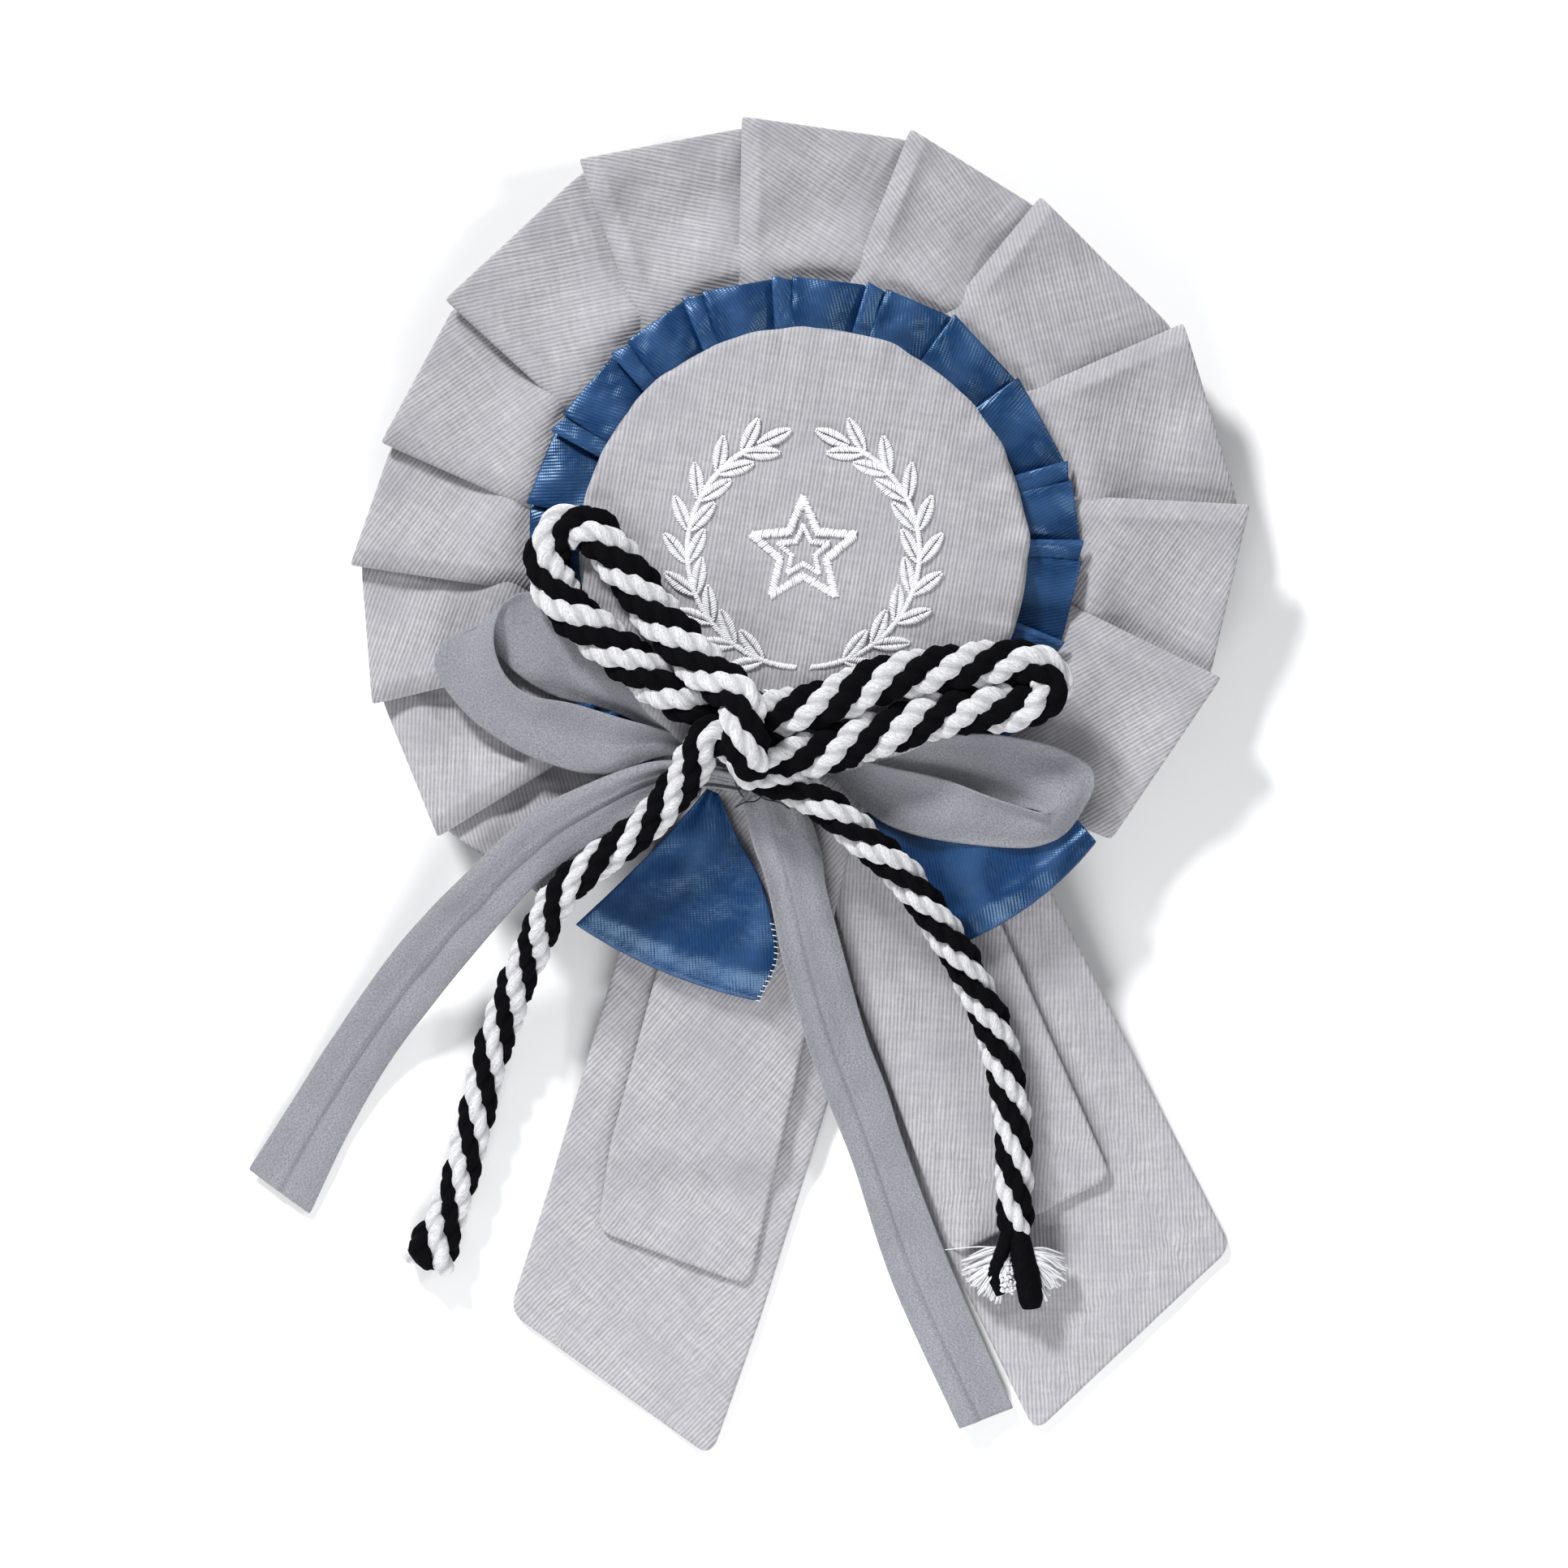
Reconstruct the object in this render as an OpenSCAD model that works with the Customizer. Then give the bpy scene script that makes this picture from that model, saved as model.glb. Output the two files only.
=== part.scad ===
// Award badge: a pleated twill rosette with a covered button, a satin ring, four twill tails,
// a chiffon bow, a twisted cord bow and a safety brooch on its back.
// The badge lies on its back: +Z is its front and +Y its top. The origin is the middle of the brooch needle.

/* [Rosette] */
// Radius to the fold tips of the outer pleats
rosette_r = 57; // [54:0.5:60]
// Radius of the pleated satin ring
ring_r = 36; // [34:0.5:38]
// Radius of the covered button
button_r = 29; // [28:0.5:30]
// Rise of the padded button from its rim to its middle
button_rise = 1.5; // [1:0.1:2]
// Number of pleats in the satin ring
ring_pleats = 17; // [13:1:19]
// Slope of a pleat across its width, in degrees
pleat_tilt = 4; // [2:0.5:4.5]

/* [Layers] */
// Thickness of the felt on the back
felt_t = 0.8; // [0.5:0.1:0.8]
// Thickness of a doubled and pressed twill tail
tail_t = 0.8; // [0.5:0.05:0.8]
// Thickness of a satin flap
satin_t = 0.6; // [0.3:0.1:0.6]
// Thickness of the folded chiffon ribbon
chiffon_t = 0.8; // [0.4:0.1:0.8]
// Width of the folded chiffon ribbon
chiffon_w = 8.5; // [7:0.5:9]

/* [Cord] */
// Diameter of the twisted cotton cord
cord_d = 4.6; // [4:0.1:4.6]
// Thickness of the cord where its loops and knot press it flat
cord_flat = 3.8; // [3.4:0.1:3.8]

/* [Brooch] */
// Radius of the needle
needle_r = 0.4; // [0.35:0.01:0.4]
// Length of the needle's straight round shank
needle_l = 23; // [20:0.5:23]
// Running clearance round the rivet
rivet_gap = 0.05; // [0.02:0.01:0.08]

/* [Hidden] */
$fn = 64;

twill = [0.78, 0.77, 0.78];
satin = [0.18, 0.31, 0.53];
chiffon = [0.55, 0.55, 0.57];
cotton_thread = [0.93, 0.93, 0.95];
dark_thread = [0.12, 0.12, 0.13];
steel = [0.75, 0.75, 0.77];

// Heights above the needle's axis
table_z = -1.9;
bar_z = 2;
bar_t = 0.8;
felt_z = bar_z + bar_t;
card_z = felt_z + felt_t;
card_top = 4.7;
tail_z = 4.8;
rosette_z = 6.5;
ring_z = 8.7;
band_z = 7.8;
button_z = 9.6;
crown_z = 13.2;
bow_z = 9.6;
bow_top = 11.6;
layer_gap = 0.05;
layer = tail_t + layer_gap;

// The rosette's middle lies below the needle, so that the badge hangs upright
centre_y = -12;

twill_t = 0.9;
ribbon_t = 0.5;
twill_lap = 6;
ribbon_lap = 4;
fold_skew = 5;
band_in = 24;
band_out = 30;
ring_band_in = 20;
ring_band_out = 27;
ring_from = -58;
ring_to = 238;
// Directions of the fold lines of the outer pleats, anticlockwise from +X
fold_angles = [-44, -17, 6, 31, 56, 76, 98, 120, 145, 165, 181, 199, 218, 223];

cover_t = 0.5;
core_t = 1;
rim_round = 0.8;
hem = 7;
stitch_t = 0.4;
wreath_r = 15;
leaf_step = 16;
leaf_l = 5;
leaf_w = 1.8;
star_r = 7;
star_line = 1.3;

// How a tail comes down from the rosette to the table: [y, share of the height that is left]
droop = [[-20, 1], [-36, 1], [-46, 0.8], [-56, 0.45], [-66, 0.15], [-74, 0.02], [-88, 0], [-125, 0]];
// Below this y the left and right tails have parted, and each drops by the thickness of the other
parting_y = -80;

tail_top = -26;
back_left_outline = [
    [-16, tail_top], [-24, -52], [-33.4, -83.5], [-38.1, -98.4], [-37.6, -100],
    [-15, -117.2], [-13, -117.4], [-11, -115.8], [-5.5, -99.4], [3, -72.3], [16, tail_top]
];
back_right_outline = [
    [-8, tail_top], [12.9, -77], [16.8, -86.9], [27.6, -111.8], [29.6, -113.6], [32.8, -113.3],
    [55, -92], [55.6, -90.6], [54.9, -88.6], [31.9, -43.4], [23, tail_top]
];
front_left_outline = [
    [-12, tail_top], [-19, -54.2], [-25.1, -76.8], [-26.5, -86], [-25.8, -88.4],
    [-8.4, -94.8], [-7.2, -94.4], [-6.3, -92.4], [0.1, -63.7], [9, tail_top]
];
front_right_outline = [
    [-3, tail_top], [2, -38.5], [6.9, -57.1], [18.6, -88.6], [20.4, -90.8], [22.6, -91],
    [39.4, -82.2], [39.8, -80.6], [25.9, -48.7], [16.5, tail_top]
];
flap_left_outline = [
    [-10, -31], [-28.8, -47.6], [-24, -50.4], [-17.8, -53.5], [-5.5, -57.9], [-3.4, -52.5], [-5.8, -42], [-8, -33]
];
flap_right_outline = [
    [9, -36], [16, -47.5], [21.5, -50], [31.6, -42.5], [37.4, -37.2], [34.8, -35.4], [31.6, -38.6], [18, -37.8]
];

loop_left_outline = [
    [-7, -30], [-17.5, -24.6], [-26.5, -15.6], [-36, -6], [-41, -6.5], [-47.5, -14.6],
    [-41.5, -22], [-34, -27], [-26, -28.6], [-18, -28.8], [-7, -32.6]
];
loop_right_outline = [
    [0, -29.8], [12, -27.4], [21, -25], [30.3, -25.4], [38.1, -28.5],
    [35.5, -33.1], [31.3, -37.2], [18.7, -37], [10.7, -34.4], [0, -32]
];
bow_knot = [[-8, -33.8], [1, -29.4]];
thread_w = 0.5;
thread_t = 0.4;
// Middle lines of the two chiffon tails, from the knot to the cut ends
chiffon_left = [
    [-7.5, -31.6, 10.4], [-18, -32, 9.9], [-28, -36.2, 8.9], [-38.9, -41.8, 8.6],
    [-46, -49, 5.6], [-51.6, -55.6, 2], [-58, -64.5, -0.6], [-63, -74, -1.4], [-68.3, -83.3, -1.4]
];
chiffon_right = [
    [-3.4, -33, 10.2], [-1.6, -40.5, 9.8], [1, -51, 7.6], [3.7, -59.1, 4.8],
    [6.8, -69.9, 2.2], [9.9, -78.5, 0.4], [15, -93, -0.5], [23.6, -112.6, -0.6]
];
// The tails are gathered where they come out of the knot: share of the ribbon's width
gathered = [0.5, 0.6, 0.8];

// Middle line of the cord: left tail, knot, right loop, knot, left loop, knot, right tail
cord_route = [
    [-49.2, -93.2, 0.5], [-44.5, -80.6, 0.5], [-40.8, -66, 1.6], [-36.6, -54.6, 4.4],
    [-30.8, -43.6, 11.2], [-21.4, -36.2, 12.8], [-15.4, -29.4, 14.6], [-11.8, -23.8, 17],
    [-6.5, -26, 15.8], [0.5, -26.4, 14.8], [10, -23.4, 14.6], [20, -20.6, 14.4],
    [28.4, -20, 14], [31.8, -17.2, 13.8], [28.4, -14.4, 13.8], [20, -15.1, 14.6],
    [11, -16.4, 14.9], [2.5, -19.6, 15], [-4.5, -21, 14.6], [-11, -20.6, 14.3],
    [-17.2, -18, 14.3], [-29.8, -7.8, 14], [-33, -2, 12.8], [-31.4, 2.6, 12.8],
    [-27.4, 2.8, 14], [-23.6, -1.6, 14.4], [-18.5, -8.6, 15], [-12.8, -15, 17],
    [-8.6, -18.7, 19.4], [-7.7, -22.8, 20.3], [-7, -26, 19.4], [-6.9, -27.8, 17.2],
    [-5.2, -28.8, 14.6], [0.8, -31.4, 13.8], [6.8, -36.2, 13.3], [12.8, -41.8, 12.2],
    [19, -50.4, 9.8], [24.4, -61, 6], [27, -72.4, 3.4], [27.6, -88.9, 2.5]
];
// Stretch of the route, by point number, that is pressed flat
flat_from = 7;
flat_to = 31;
cord_sides = 10;
fray_outline = [
    [25.6, -88.9], [18.6, -91.6], [20.6, -94.6], [25, -96.8], [28.4, -98.2], [31, -98],
    [32.4, -95], [36.2, -92], [29.6, -88.9]
];
fray_z = 0.2;
fray_t = 2.6;

bar_w = 5;
bar_from = -17;
bar_to = 16;
hinge_x = 13.5;
ear_t = 0.6;
ear_gap = 2;
ear_r = 1.5;
rivet_r = 0.6;
eye_r = 1.3;
eye_w = 1.8;
collar_r = 0.6;
tip_x = -16.4;
tip_r = 0.08;
catch_from = -15.5;
catch_to = -12;
cheek_t = 0.6;
cheek_r = 1.9;
hub_r = 1;
roller_r = 1.5;
needle_slot = 1;
lever_r = 2.6;
lever_t = 0.7;
lever_angle = -40;
stitch_r = 0.2;

function polar(r, a) = [r * cos(a), r * sin(a)];
function unit(v) = v / norm(v);
function last(v) = len(v) - 1;

// Direction of a route at point i, and the two directions square to it
function along(route, i) = unit(route[min(i + 1, last(route))] - route[max(i - 1, 0)]);
function sideways(t) = unit(cross([0, 0, 1], t));
function outward(route, i, p) =
    let (t = along(route, i), s = sideways(t))
    route[i] + s * p.x + cross(t, s) * p.y;

// A closed tube through the route, with one section outline at each of its points
module sweep(route, sections) {
    n = len(sections[0]);
    points = [for (i = [0:last(route)]) for (p = sections[i]) outward(route, i, p)];
    lower = [for (i = [0:last(route) - 1]) for (k = [0:n - 1])
        [i * n + k, (i + 1) * n + k, (i + 1) * n + (k + 1) % n]];
    upper = [for (i = [0:last(route) - 1]) for (k = [0:n - 1])
        [i * n + k, (i + 1) * n + (k + 1) % n, i * n + (k + 1) % n]];
    ends = [[for (k = [0:n - 1]) k], [for (k = [n - 1:-1:0]) last(route) * n + k]];
    polyhedron(points, concat(lower, upper, ends));
}

function oval(w, h, n) = [for (k = [0:n - 1]) [w / 2 * cos(360 * k / n), h / 2 * sin(360 * k / n)]];
function slab(w, t) = [[w / 2, -t / 2], [w / 2, t / 2], [-w / 2, t / 2], [-w / 2, -t / 2]];

module from_centre() {
    translate([0, centre_y, 0]) children();
}

module plate(outline, z, t) {
    translate([0, 0, z]) linear_extrude(t) polygon(outline);
}

// One knife pleat: a flat panel whose anticlockwise edge is raised over the next one
module pleat(r_in, r_out, a0, a1, lap, cloth) {
    mid = (a0 + a1) / 2;
    rotate([0, 0, mid]) rotate([pleat_tilt, 0, 0]) linear_extrude(cloth, center = true)
        polygon([
            polar(r_in, a0 - mid - lap), polar(r_out, a0 - mid - lap),
            polar(r_out, a1 - mid), polar(r_in, a1 - mid + fold_skew)
        ]);
}

// The gathered inner edge that a row of pleats is stitched to
module stitched_band(r_in, r_out, z0, z1, from, to) {
    rotate([0, 0, from]) rotate_extrude(angle = to - from) translate([r_in, z0]) square([r_out - r_in, z1 - z0]);
}

// Half outline of a domed disc with a rounded rim, from the rim's underside up to the middle
function dome_edge(r, z0, z1, round) =
    let (rim = z1 - button_rise, flat = r - round)
    concat(
        [[flat, z0], [r, z0 + round], [r, rim - round]],
        [for (k = [5:-1:0]) [flat * k / 5, z1 - button_rise * pow(flat * k / 5 / r, 2)]]
    );

module dome(r, z0, z1, round) {
    rotate_extrude() polygon(concat([[0, z0]], dome_edge(r, z0, z1, round)));
}

// A tail lies over `above` other layers at its top and over `below` layers past the parting
module tail(outline, above, below) {
    lower = [for (p = droop)
        [p.x, table_z + (tail_z - table_z) * p.y + layer * (p.x < parting_y ? below : above)]];
    upper = [for (k = [last(droop):-1:0]) lower[k] + [0, tail_t]];
    intersection() {
        plate(outline, table_z, crown_z);
        translate([-rosette_r, 0, 0]) rotate([90, 0, 90]) linear_extrude(2 * rosette_r)
            polygon(concat(lower, upper));
    }
}

// A flap follows the tails that it lies on
module flap(outline) {
    lower = [[-20, 8.3], [-36, 8.3], [-46, 7.3], [-60, 4.6]];
    upper = [for (k = [last(lower):-1:0]) lower[k] + [0, satin_t]];
    intersection() {
        plate(outline, table_z, crown_z);
        translate([-rosette_r, 0, 0]) rotate([90, 0, 90]) linear_extrude(2 * rosette_r)
            polygon(concat(lower, upper));
    }
}

module across(x0, x1, r) {
    translate([x0, 0, 0]) rotate([0, 90, 0]) cylinder(h = x1 - x0, r = r);
}

module upright(y0, y1, r) {
    translate([0, y1, 0]) rotate([90, 0, 0]) cylinder(h = y1 - y0, r = r);
}

module back_felt() {
    color(twill) from_centre() translate([0, 0, felt_z]) cylinder(h = felt_t, r = ring_r - 2);
}

module backing_card() {
    color("tan") from_centre() translate([0, 0, card_z]) cylinder(h = card_top - card_z, r = ring_r - 3);
}

module outer_rosette() {
    color(twill) from_centre() {
        for (i = [0:last(fold_angles) - 1])
            translate([0, 0, rosette_z])
                pleat(band_in, rosette_r, fold_angles[i], fold_angles[i + 1], i == 0 ? 0 : twill_lap, twill_t);
        stitched_band(band_in, band_out, card_top, band_z, fold_angles[0], fold_angles[last(fold_angles)]);
    }
}

module satin_ring() {
    pitch = (ring_to - ring_from) / ring_pleats;
    color(satin) from_centre() {
        for (i = [0:ring_pleats - 1])
            translate([0, 0, ring_z])
                pleat(ring_band_in, ring_r, ring_from + i * pitch, ring_from + (i + 1) * pitch, ribbon_lap, ribbon_t);
        stitched_band(ring_band_in, ring_band_out, band_z, button_z, ring_from, ring_to);
    }
}

module button_core() {
    color("tan") from_centre()
        translate([0, 0, button_z + cover_t]) cylinder(h = core_t, r = button_r - cover_t - rim_round);
}

module button_padding() {
    bed = button_z + cover_t + core_t;
    color("white") from_centre() intersection() {
        dome(button_r - cover_t - layer_gap, button_z, crown_z - cover_t - layer_gap, rim_round - cover_t);
        translate([0, 0, bed]) cylinder(h = crown_z, r = button_r);
    }
}

// A shell that wraps the padding and the core, with its hem turned in underneath
module button_cover() {
    outer = dome_edge(button_r, button_z, crown_z, rim_round);
    inner = dome_edge(button_r - cover_t, button_z + cover_t, crown_z - cover_t, rim_round - cover_t);
    color(twill) from_centre() rotate_extrude() polygon(concat(
        [[button_r - hem, button_z]],
        outer,
        [for (k = [last(inner):-1:0]) inner[k]],
        [[button_r - hem, button_z + cover_t]]
    ));
}

module leaf() {
    polygon([
        [0, 0], [leaf_l * 0.3, leaf_w / 2], [leaf_l * 0.65, leaf_w / 2 * 0.85],
        [leaf_l, 0], [leaf_l * 0.65, -leaf_w / 2 * 0.85], [leaf_l * 0.3, -leaf_w / 2]
    ]);
}

module star(r) {
    polygon([for (k = [0:9]) polar(k % 2 == 0 ? r : r * 0.45, 90 + 36 * k)]);
}

// Satin-stitched wreath round an outlined star, raised on the button's cover
module button_embroidery() {
    color(cotton_thread) from_centre() intersection() {
        difference() {
            dome(button_r, button_z, crown_z + stitch_t, rim_round);
            dome(button_r, button_z, crown_z, rim_round);
        }
        translate([0, 0, button_z]) linear_extrude(crown_z) union() {
            for (m = [0, 1]) mirror([m, 0]) for (a = [-70:leaf_step:58]) rotate(a) translate([wreath_r, 0])
                for (s = [-1, 1]) rotate(90 + s * 32) leaf();
            difference() {
                star(star_r);
                star(star_r - star_line * 1.6);
            }
        }
    }
}

module tail_back_right() {
    color(twill) from_centre() tail(back_right_outline, 0, 0);
}

module tail_back_left() {
    color(twill) from_centre() tail(back_left_outline, 1, 0);
}

module tail_front_right() {
    color(twill) from_centre() tail(front_right_outline, 2, 1);
}

module tail_front_left() {
    color(twill) from_centre() tail(front_left_outline, 3, 1);
}

module satin_flap_left() {
    color(satin) from_centre() flap(flap_left_outline);
}

module satin_flap_right() {
    color(satin) from_centre() flap(flap_right_outline);
}

// One ribbon tied in a bow: two loops, the knot between them and two tails
module chiffon_bow() {
    color(chiffon) from_centre() union() {
        plate(loop_left_outline, bow_z, bow_top - bow_z);
        plate(loop_right_outline, bow_z, bow_top - bow_z);
        translate([bow_knot[0].x, bow_knot[0].y, bow_z])
            cube([bow_knot[1].x - bow_knot[0].x, bow_knot[1].y - bow_knot[0].y, bow_top - bow_z]);
        for (route = [chiffon_left, chiffon_right])
            sweep(route, [for (i = [0:last(route)])
                slab(chiffon_w * (i < len(gathered) ? gathered[i] : 1), chiffon_t)]);
    }
}

// Two stitches of dark thread round the chiffon knot
module bow_thread() {
    hole = [2 * thread_w, bow_knot[1].y - bow_knot[0].y + 2 * layer_gap, bow_top - bow_z + 2 * layer_gap];
    color(dark_thread) from_centre() for (x = [-7.1, -6])
        translate([x, (bow_knot[0].y + bow_knot[1].y) / 2, (bow_z + bow_top) / 2]) difference() {
            cube([thread_w, hole.y + 2 * thread_t, hole.z + 2 * thread_t], center = true);
            cube(hole, center = true);
        }
}

module cord_bow() {
    color("gray") from_centre() sweep(cord_route, [for (i = [0:last(cord_route)])
        i < flat_from || i > flat_to ? oval(cord_d, cord_d, cord_sides) : oval(cord_d, cord_flat, cord_sides)]);
}

module cord_fray() {
    color(cotton_thread) from_centre() plate(fray_outline, fray_z, fray_t);
}

module brooch_bar() {
    color(steel) {
        for (x = [bar_from + bar_w / 2, bar_to - bar_w / 2])
            translate([x, 0, bar_z]) cylinder(h = bar_t, r = bar_w / 2);
        translate([bar_from + bar_w / 2, -bar_w / 2, bar_z]) cube([bar_to - bar_from - bar_w, bar_w, bar_t]);
        for (s = [-1, 1]) difference() {
            translate([hinge_x, s * (ear_gap + ear_t) / 2, 0]) union() {
                translate([0, 0, table_z + ear_r]) upright(-ear_t / 2, ear_t / 2, ear_r);
                translate([-ear_r, -ear_t / 2, table_z + ear_r]) cube([2 * ear_r, ear_t, bar_z - table_z - ear_r]);
            }
            translate([hinge_x, 0, 0]) upright(-bar_w, bar_w, rivet_r);
        }
    }
}

// Six stitches over the bar, down to the felt at both of its edges
module brooch_thread() {
    reach = bar_w / 2 + stitch_r + layer_gap;
    color(cotton_thread) for (x = [-9, -8, -7, 7, 8, 9]) translate([x, 0, bar_z - stitch_r - layer_gap]) union() {
        upright(-reach, reach, stitch_r);
        for (s = [-1, 1]) translate([0, s * reach, 0]) cylinder(h = felt_z - bar_z + stitch_r + layer_gap, r = stitch_r);
    }
}

// The fixed half of the catch: two cheeks with a mouth that the needle drops out of
module brooch_catch() {
    color(steel) difference() {
        union() {
            translate([catch_from, -cheek_r, bar_z - 0.4]) cube([catch_to - catch_from, 2 * cheek_r, 0.4]);
            for (x = [catch_from, catch_to - cheek_t]) {
                across(x, x + cheek_t, cheek_r);
                translate([x, -cheek_r, 0]) cube([cheek_t, 2 * cheek_r, bar_z]);
            }
        }
        across(catch_from - 1, catch_to + 1, hub_r + rivet_gap);
        translate([catch_from - 1, -needle_slot / 2, table_z - 1])
            cube([catch_to - catch_from + 2, needle_slot, -table_z + 1]);
    }
}

module hinge_rivet() {
    half = ear_gap / 2 + ear_t;
    color(steel) translate([hinge_x, 0, 0]) union() {
        upright(-half, half, rivet_r);
        for (y = [-half - 0.3, half]) upright(y, y + 0.3, rivet_r + 0.4);
    }
}

module brooch_needle() {
    half = needle_l / 2;
    color(steel) difference() {
        union() {
            across(-half, half, needle_r);
            translate([tip_x, 0, 0]) rotate([0, 90, 0]) cylinder(h = -half - tip_x, r1 = tip_r, r2 = needle_r);
            across(half, hinge_x, collar_r);
            translate([hinge_x, 0, 0]) upright(-eye_w / 2, eye_w / 2, eye_r);
        }
        translate([hinge_x, 0, 0]) upright(-eye_w, eye_w, rivet_r + rivet_gap);
    }
}

// The turning half of the catch: its slot lets the needle out at rest, and is shut a quarter turn on
module catch_roller() {
    wall = cheek_t + 0.1;
    color(steel) difference() {
        union() {
            across(catch_from + wall, catch_to - wall, roller_r);
            across(catch_from + 0.1, catch_to - 0.1, hub_r);
            rotate([lever_angle, 0, 0])
                translate([catch_from + wall + 0.2, roller_r - 0.5, -lever_t / 2])
                    cube([catch_to - catch_from - 2 * wall - 0.4, lever_r - roller_r + 0.5, lever_t]);
        }
        across(catch_from - 1, catch_to + 1, needle_slot / 2);
        translate([catch_from - 1, -needle_slot / 2, -roller_r - 1])
            cube([catch_to - catch_from + 2, needle_slot, roller_r + 1]);
    }
}

back_felt();
backing_card();
outer_rosette();
satin_ring();
button_core();
button_padding();
button_cover();
button_embroidery();
tail_back_right();
tail_back_left();
tail_front_right();
tail_front_left();
satin_flap_left();
satin_flap_right();
chiffon_bow();
bow_thread();
cord_bow();
cord_fray();
brooch_bar();
brooch_thread();
brooch_catch();
hinge_rivet();
brooch_needle();
catch_roller();
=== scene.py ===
import math

import bpy
import numpy as np
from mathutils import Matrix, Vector


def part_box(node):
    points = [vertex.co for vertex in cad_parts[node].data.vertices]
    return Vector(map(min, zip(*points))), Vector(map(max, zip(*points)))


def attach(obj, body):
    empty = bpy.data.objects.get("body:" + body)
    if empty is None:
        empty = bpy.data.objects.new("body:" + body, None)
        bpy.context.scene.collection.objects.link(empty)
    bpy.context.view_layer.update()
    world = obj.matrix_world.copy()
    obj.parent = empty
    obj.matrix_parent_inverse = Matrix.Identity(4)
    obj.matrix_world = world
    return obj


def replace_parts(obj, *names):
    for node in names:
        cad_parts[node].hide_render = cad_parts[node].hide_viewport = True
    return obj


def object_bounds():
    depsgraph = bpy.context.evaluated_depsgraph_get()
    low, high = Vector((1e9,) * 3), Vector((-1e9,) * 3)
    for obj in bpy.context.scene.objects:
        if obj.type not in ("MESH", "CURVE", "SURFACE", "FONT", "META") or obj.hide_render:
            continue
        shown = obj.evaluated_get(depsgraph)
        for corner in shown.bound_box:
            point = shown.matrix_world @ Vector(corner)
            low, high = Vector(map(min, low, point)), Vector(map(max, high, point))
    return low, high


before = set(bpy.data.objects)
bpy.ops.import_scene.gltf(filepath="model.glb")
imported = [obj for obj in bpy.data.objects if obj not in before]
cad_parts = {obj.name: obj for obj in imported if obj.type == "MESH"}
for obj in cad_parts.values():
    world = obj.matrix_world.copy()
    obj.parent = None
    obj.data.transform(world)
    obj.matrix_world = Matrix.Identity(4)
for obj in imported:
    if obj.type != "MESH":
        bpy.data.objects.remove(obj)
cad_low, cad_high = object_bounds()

# The award badge lies on its back, with +Z up, +Y towards the top of the rosette.
# Shapes are written in millimetres from the middle of the button, heights from the row's
# origin, and to_row() turns them into the row frame in metres.
MM = 0.001
core_low, core_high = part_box("button_core")
CENTRE = np.array([(core_low.x + core_high.x) / 2, (core_low.y + core_high.y) / 2, 0.0])
TABLE = cad_low.z
BODY = "badge"


def to_row(points):
    return np.asarray(points, float) * MM + CENTRE


# ---- camera

VIEW_MIDDLE = np.array([-2.5, -30.0])
VIEW_WIDTH = 203.0
# Height over the row's origin at which the view is that wide
SHARP_HEIGHT = 8.0
LENS = 250.0
SENSOR = 36.0


def make_camera():
    """A long lens straight above the badge."""
    data = bpy.data.cameras.new("camera")
    data.lens = LENS
    data.sensor_width = SENSOR
    data.clip_start = 0.01
    camera = bpy.data.objects.new("camera", data)
    bpy.context.scene.collection.objects.link(camera)
    height = VIEW_WIDTH * LENS / SENSOR + SHARP_HEIGHT
    camera.location = to_row([*VIEW_MIDDLE, height])
    bpy.context.scene.camera = camera


make_camera()

# ---- curves and meshes


def unit(v):
    return v / np.linalg.norm(v, axis=-1, keepdims=True)


def at_shares(points, shares):
    """Points of the polyline at those shares of its length."""
    points = np.asarray(points, float)
    steps = np.linalg.norm(np.diff(points, axis=0), axis=1)
    reach = np.concatenate([[0], np.cumsum(steps)])
    return np.stack([np.interp(shares * reach[-1], reach, column) for column in points.T], axis=1)


def evenly(points, count):
    """The same polyline with evenly spaced points."""
    return at_shares(points, np.linspace(0, 1, count))


def through(points, count):
    """A smooth curve through the points, evenly spaced."""
    p = np.asarray(points, float)
    p = np.vstack([2 * p[0] - p[1], p, 2 * p[-1] - p[-2]])
    t = np.linspace(0, 1, 20, endpoint=False)[:, None]
    parts = []
    for i in range(1, len(p) - 2):
        a, b, c, d = p[i - 1:i + 3]
        parts.append(b + 0.5 * t * (c - a + t * (2 * a - 5 * b + 4 * c - d + t * (3 * b - a - 3 * c + d))))
    return evenly(np.vstack(parts + [p[-2:-1]]), count)


def curve_length(points):
    return float(np.linalg.norm(np.diff(np.asarray(points, float), axis=0), axis=1).sum())


def polar(radius, degrees):
    angle = np.radians(degrees)
    return np.array([radius * np.cos(angle), radius * np.sin(angle)])


def ease(t):
    t = np.clip(t, 0, 1)
    return t * t * (3 - 2 * t)


def ripple(x, y, length, seed):
    """A smooth, repeatable unevenness of about -1 to 1, with waves about that long."""
    rng = np.random.default_rng(seed)
    total = np.zeros_like(x)
    for _ in range(7):
        heading, phase = rng.uniform(0, 2 * math.pi, 2)
        k = 2 * math.pi / (length * rng.uniform(0.6, 1.5))
        total += np.sin(k * (x * math.cos(heading) + y * math.sin(heading)) + phase)
    return total / 3


def normals_of(grid):
    along = np.gradient(grid, axis=0)
    across = np.gradient(grid, axis=1)
    return unit(np.cross(along, across) + 1e-12)


def quads(rows, columns, closed=False):
    """Faces of a grid of points, row by row. A closed grid's columns go all the way round."""
    spans = columns if closed else columns - 1
    faces = []
    for i in range(rows - 1):
        for k in range(spans):
            a = i * columns + k
            b = i * columns + (k + 1) % columns
            faces.append((a, a + columns, b + columns, b))
    return faces


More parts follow.
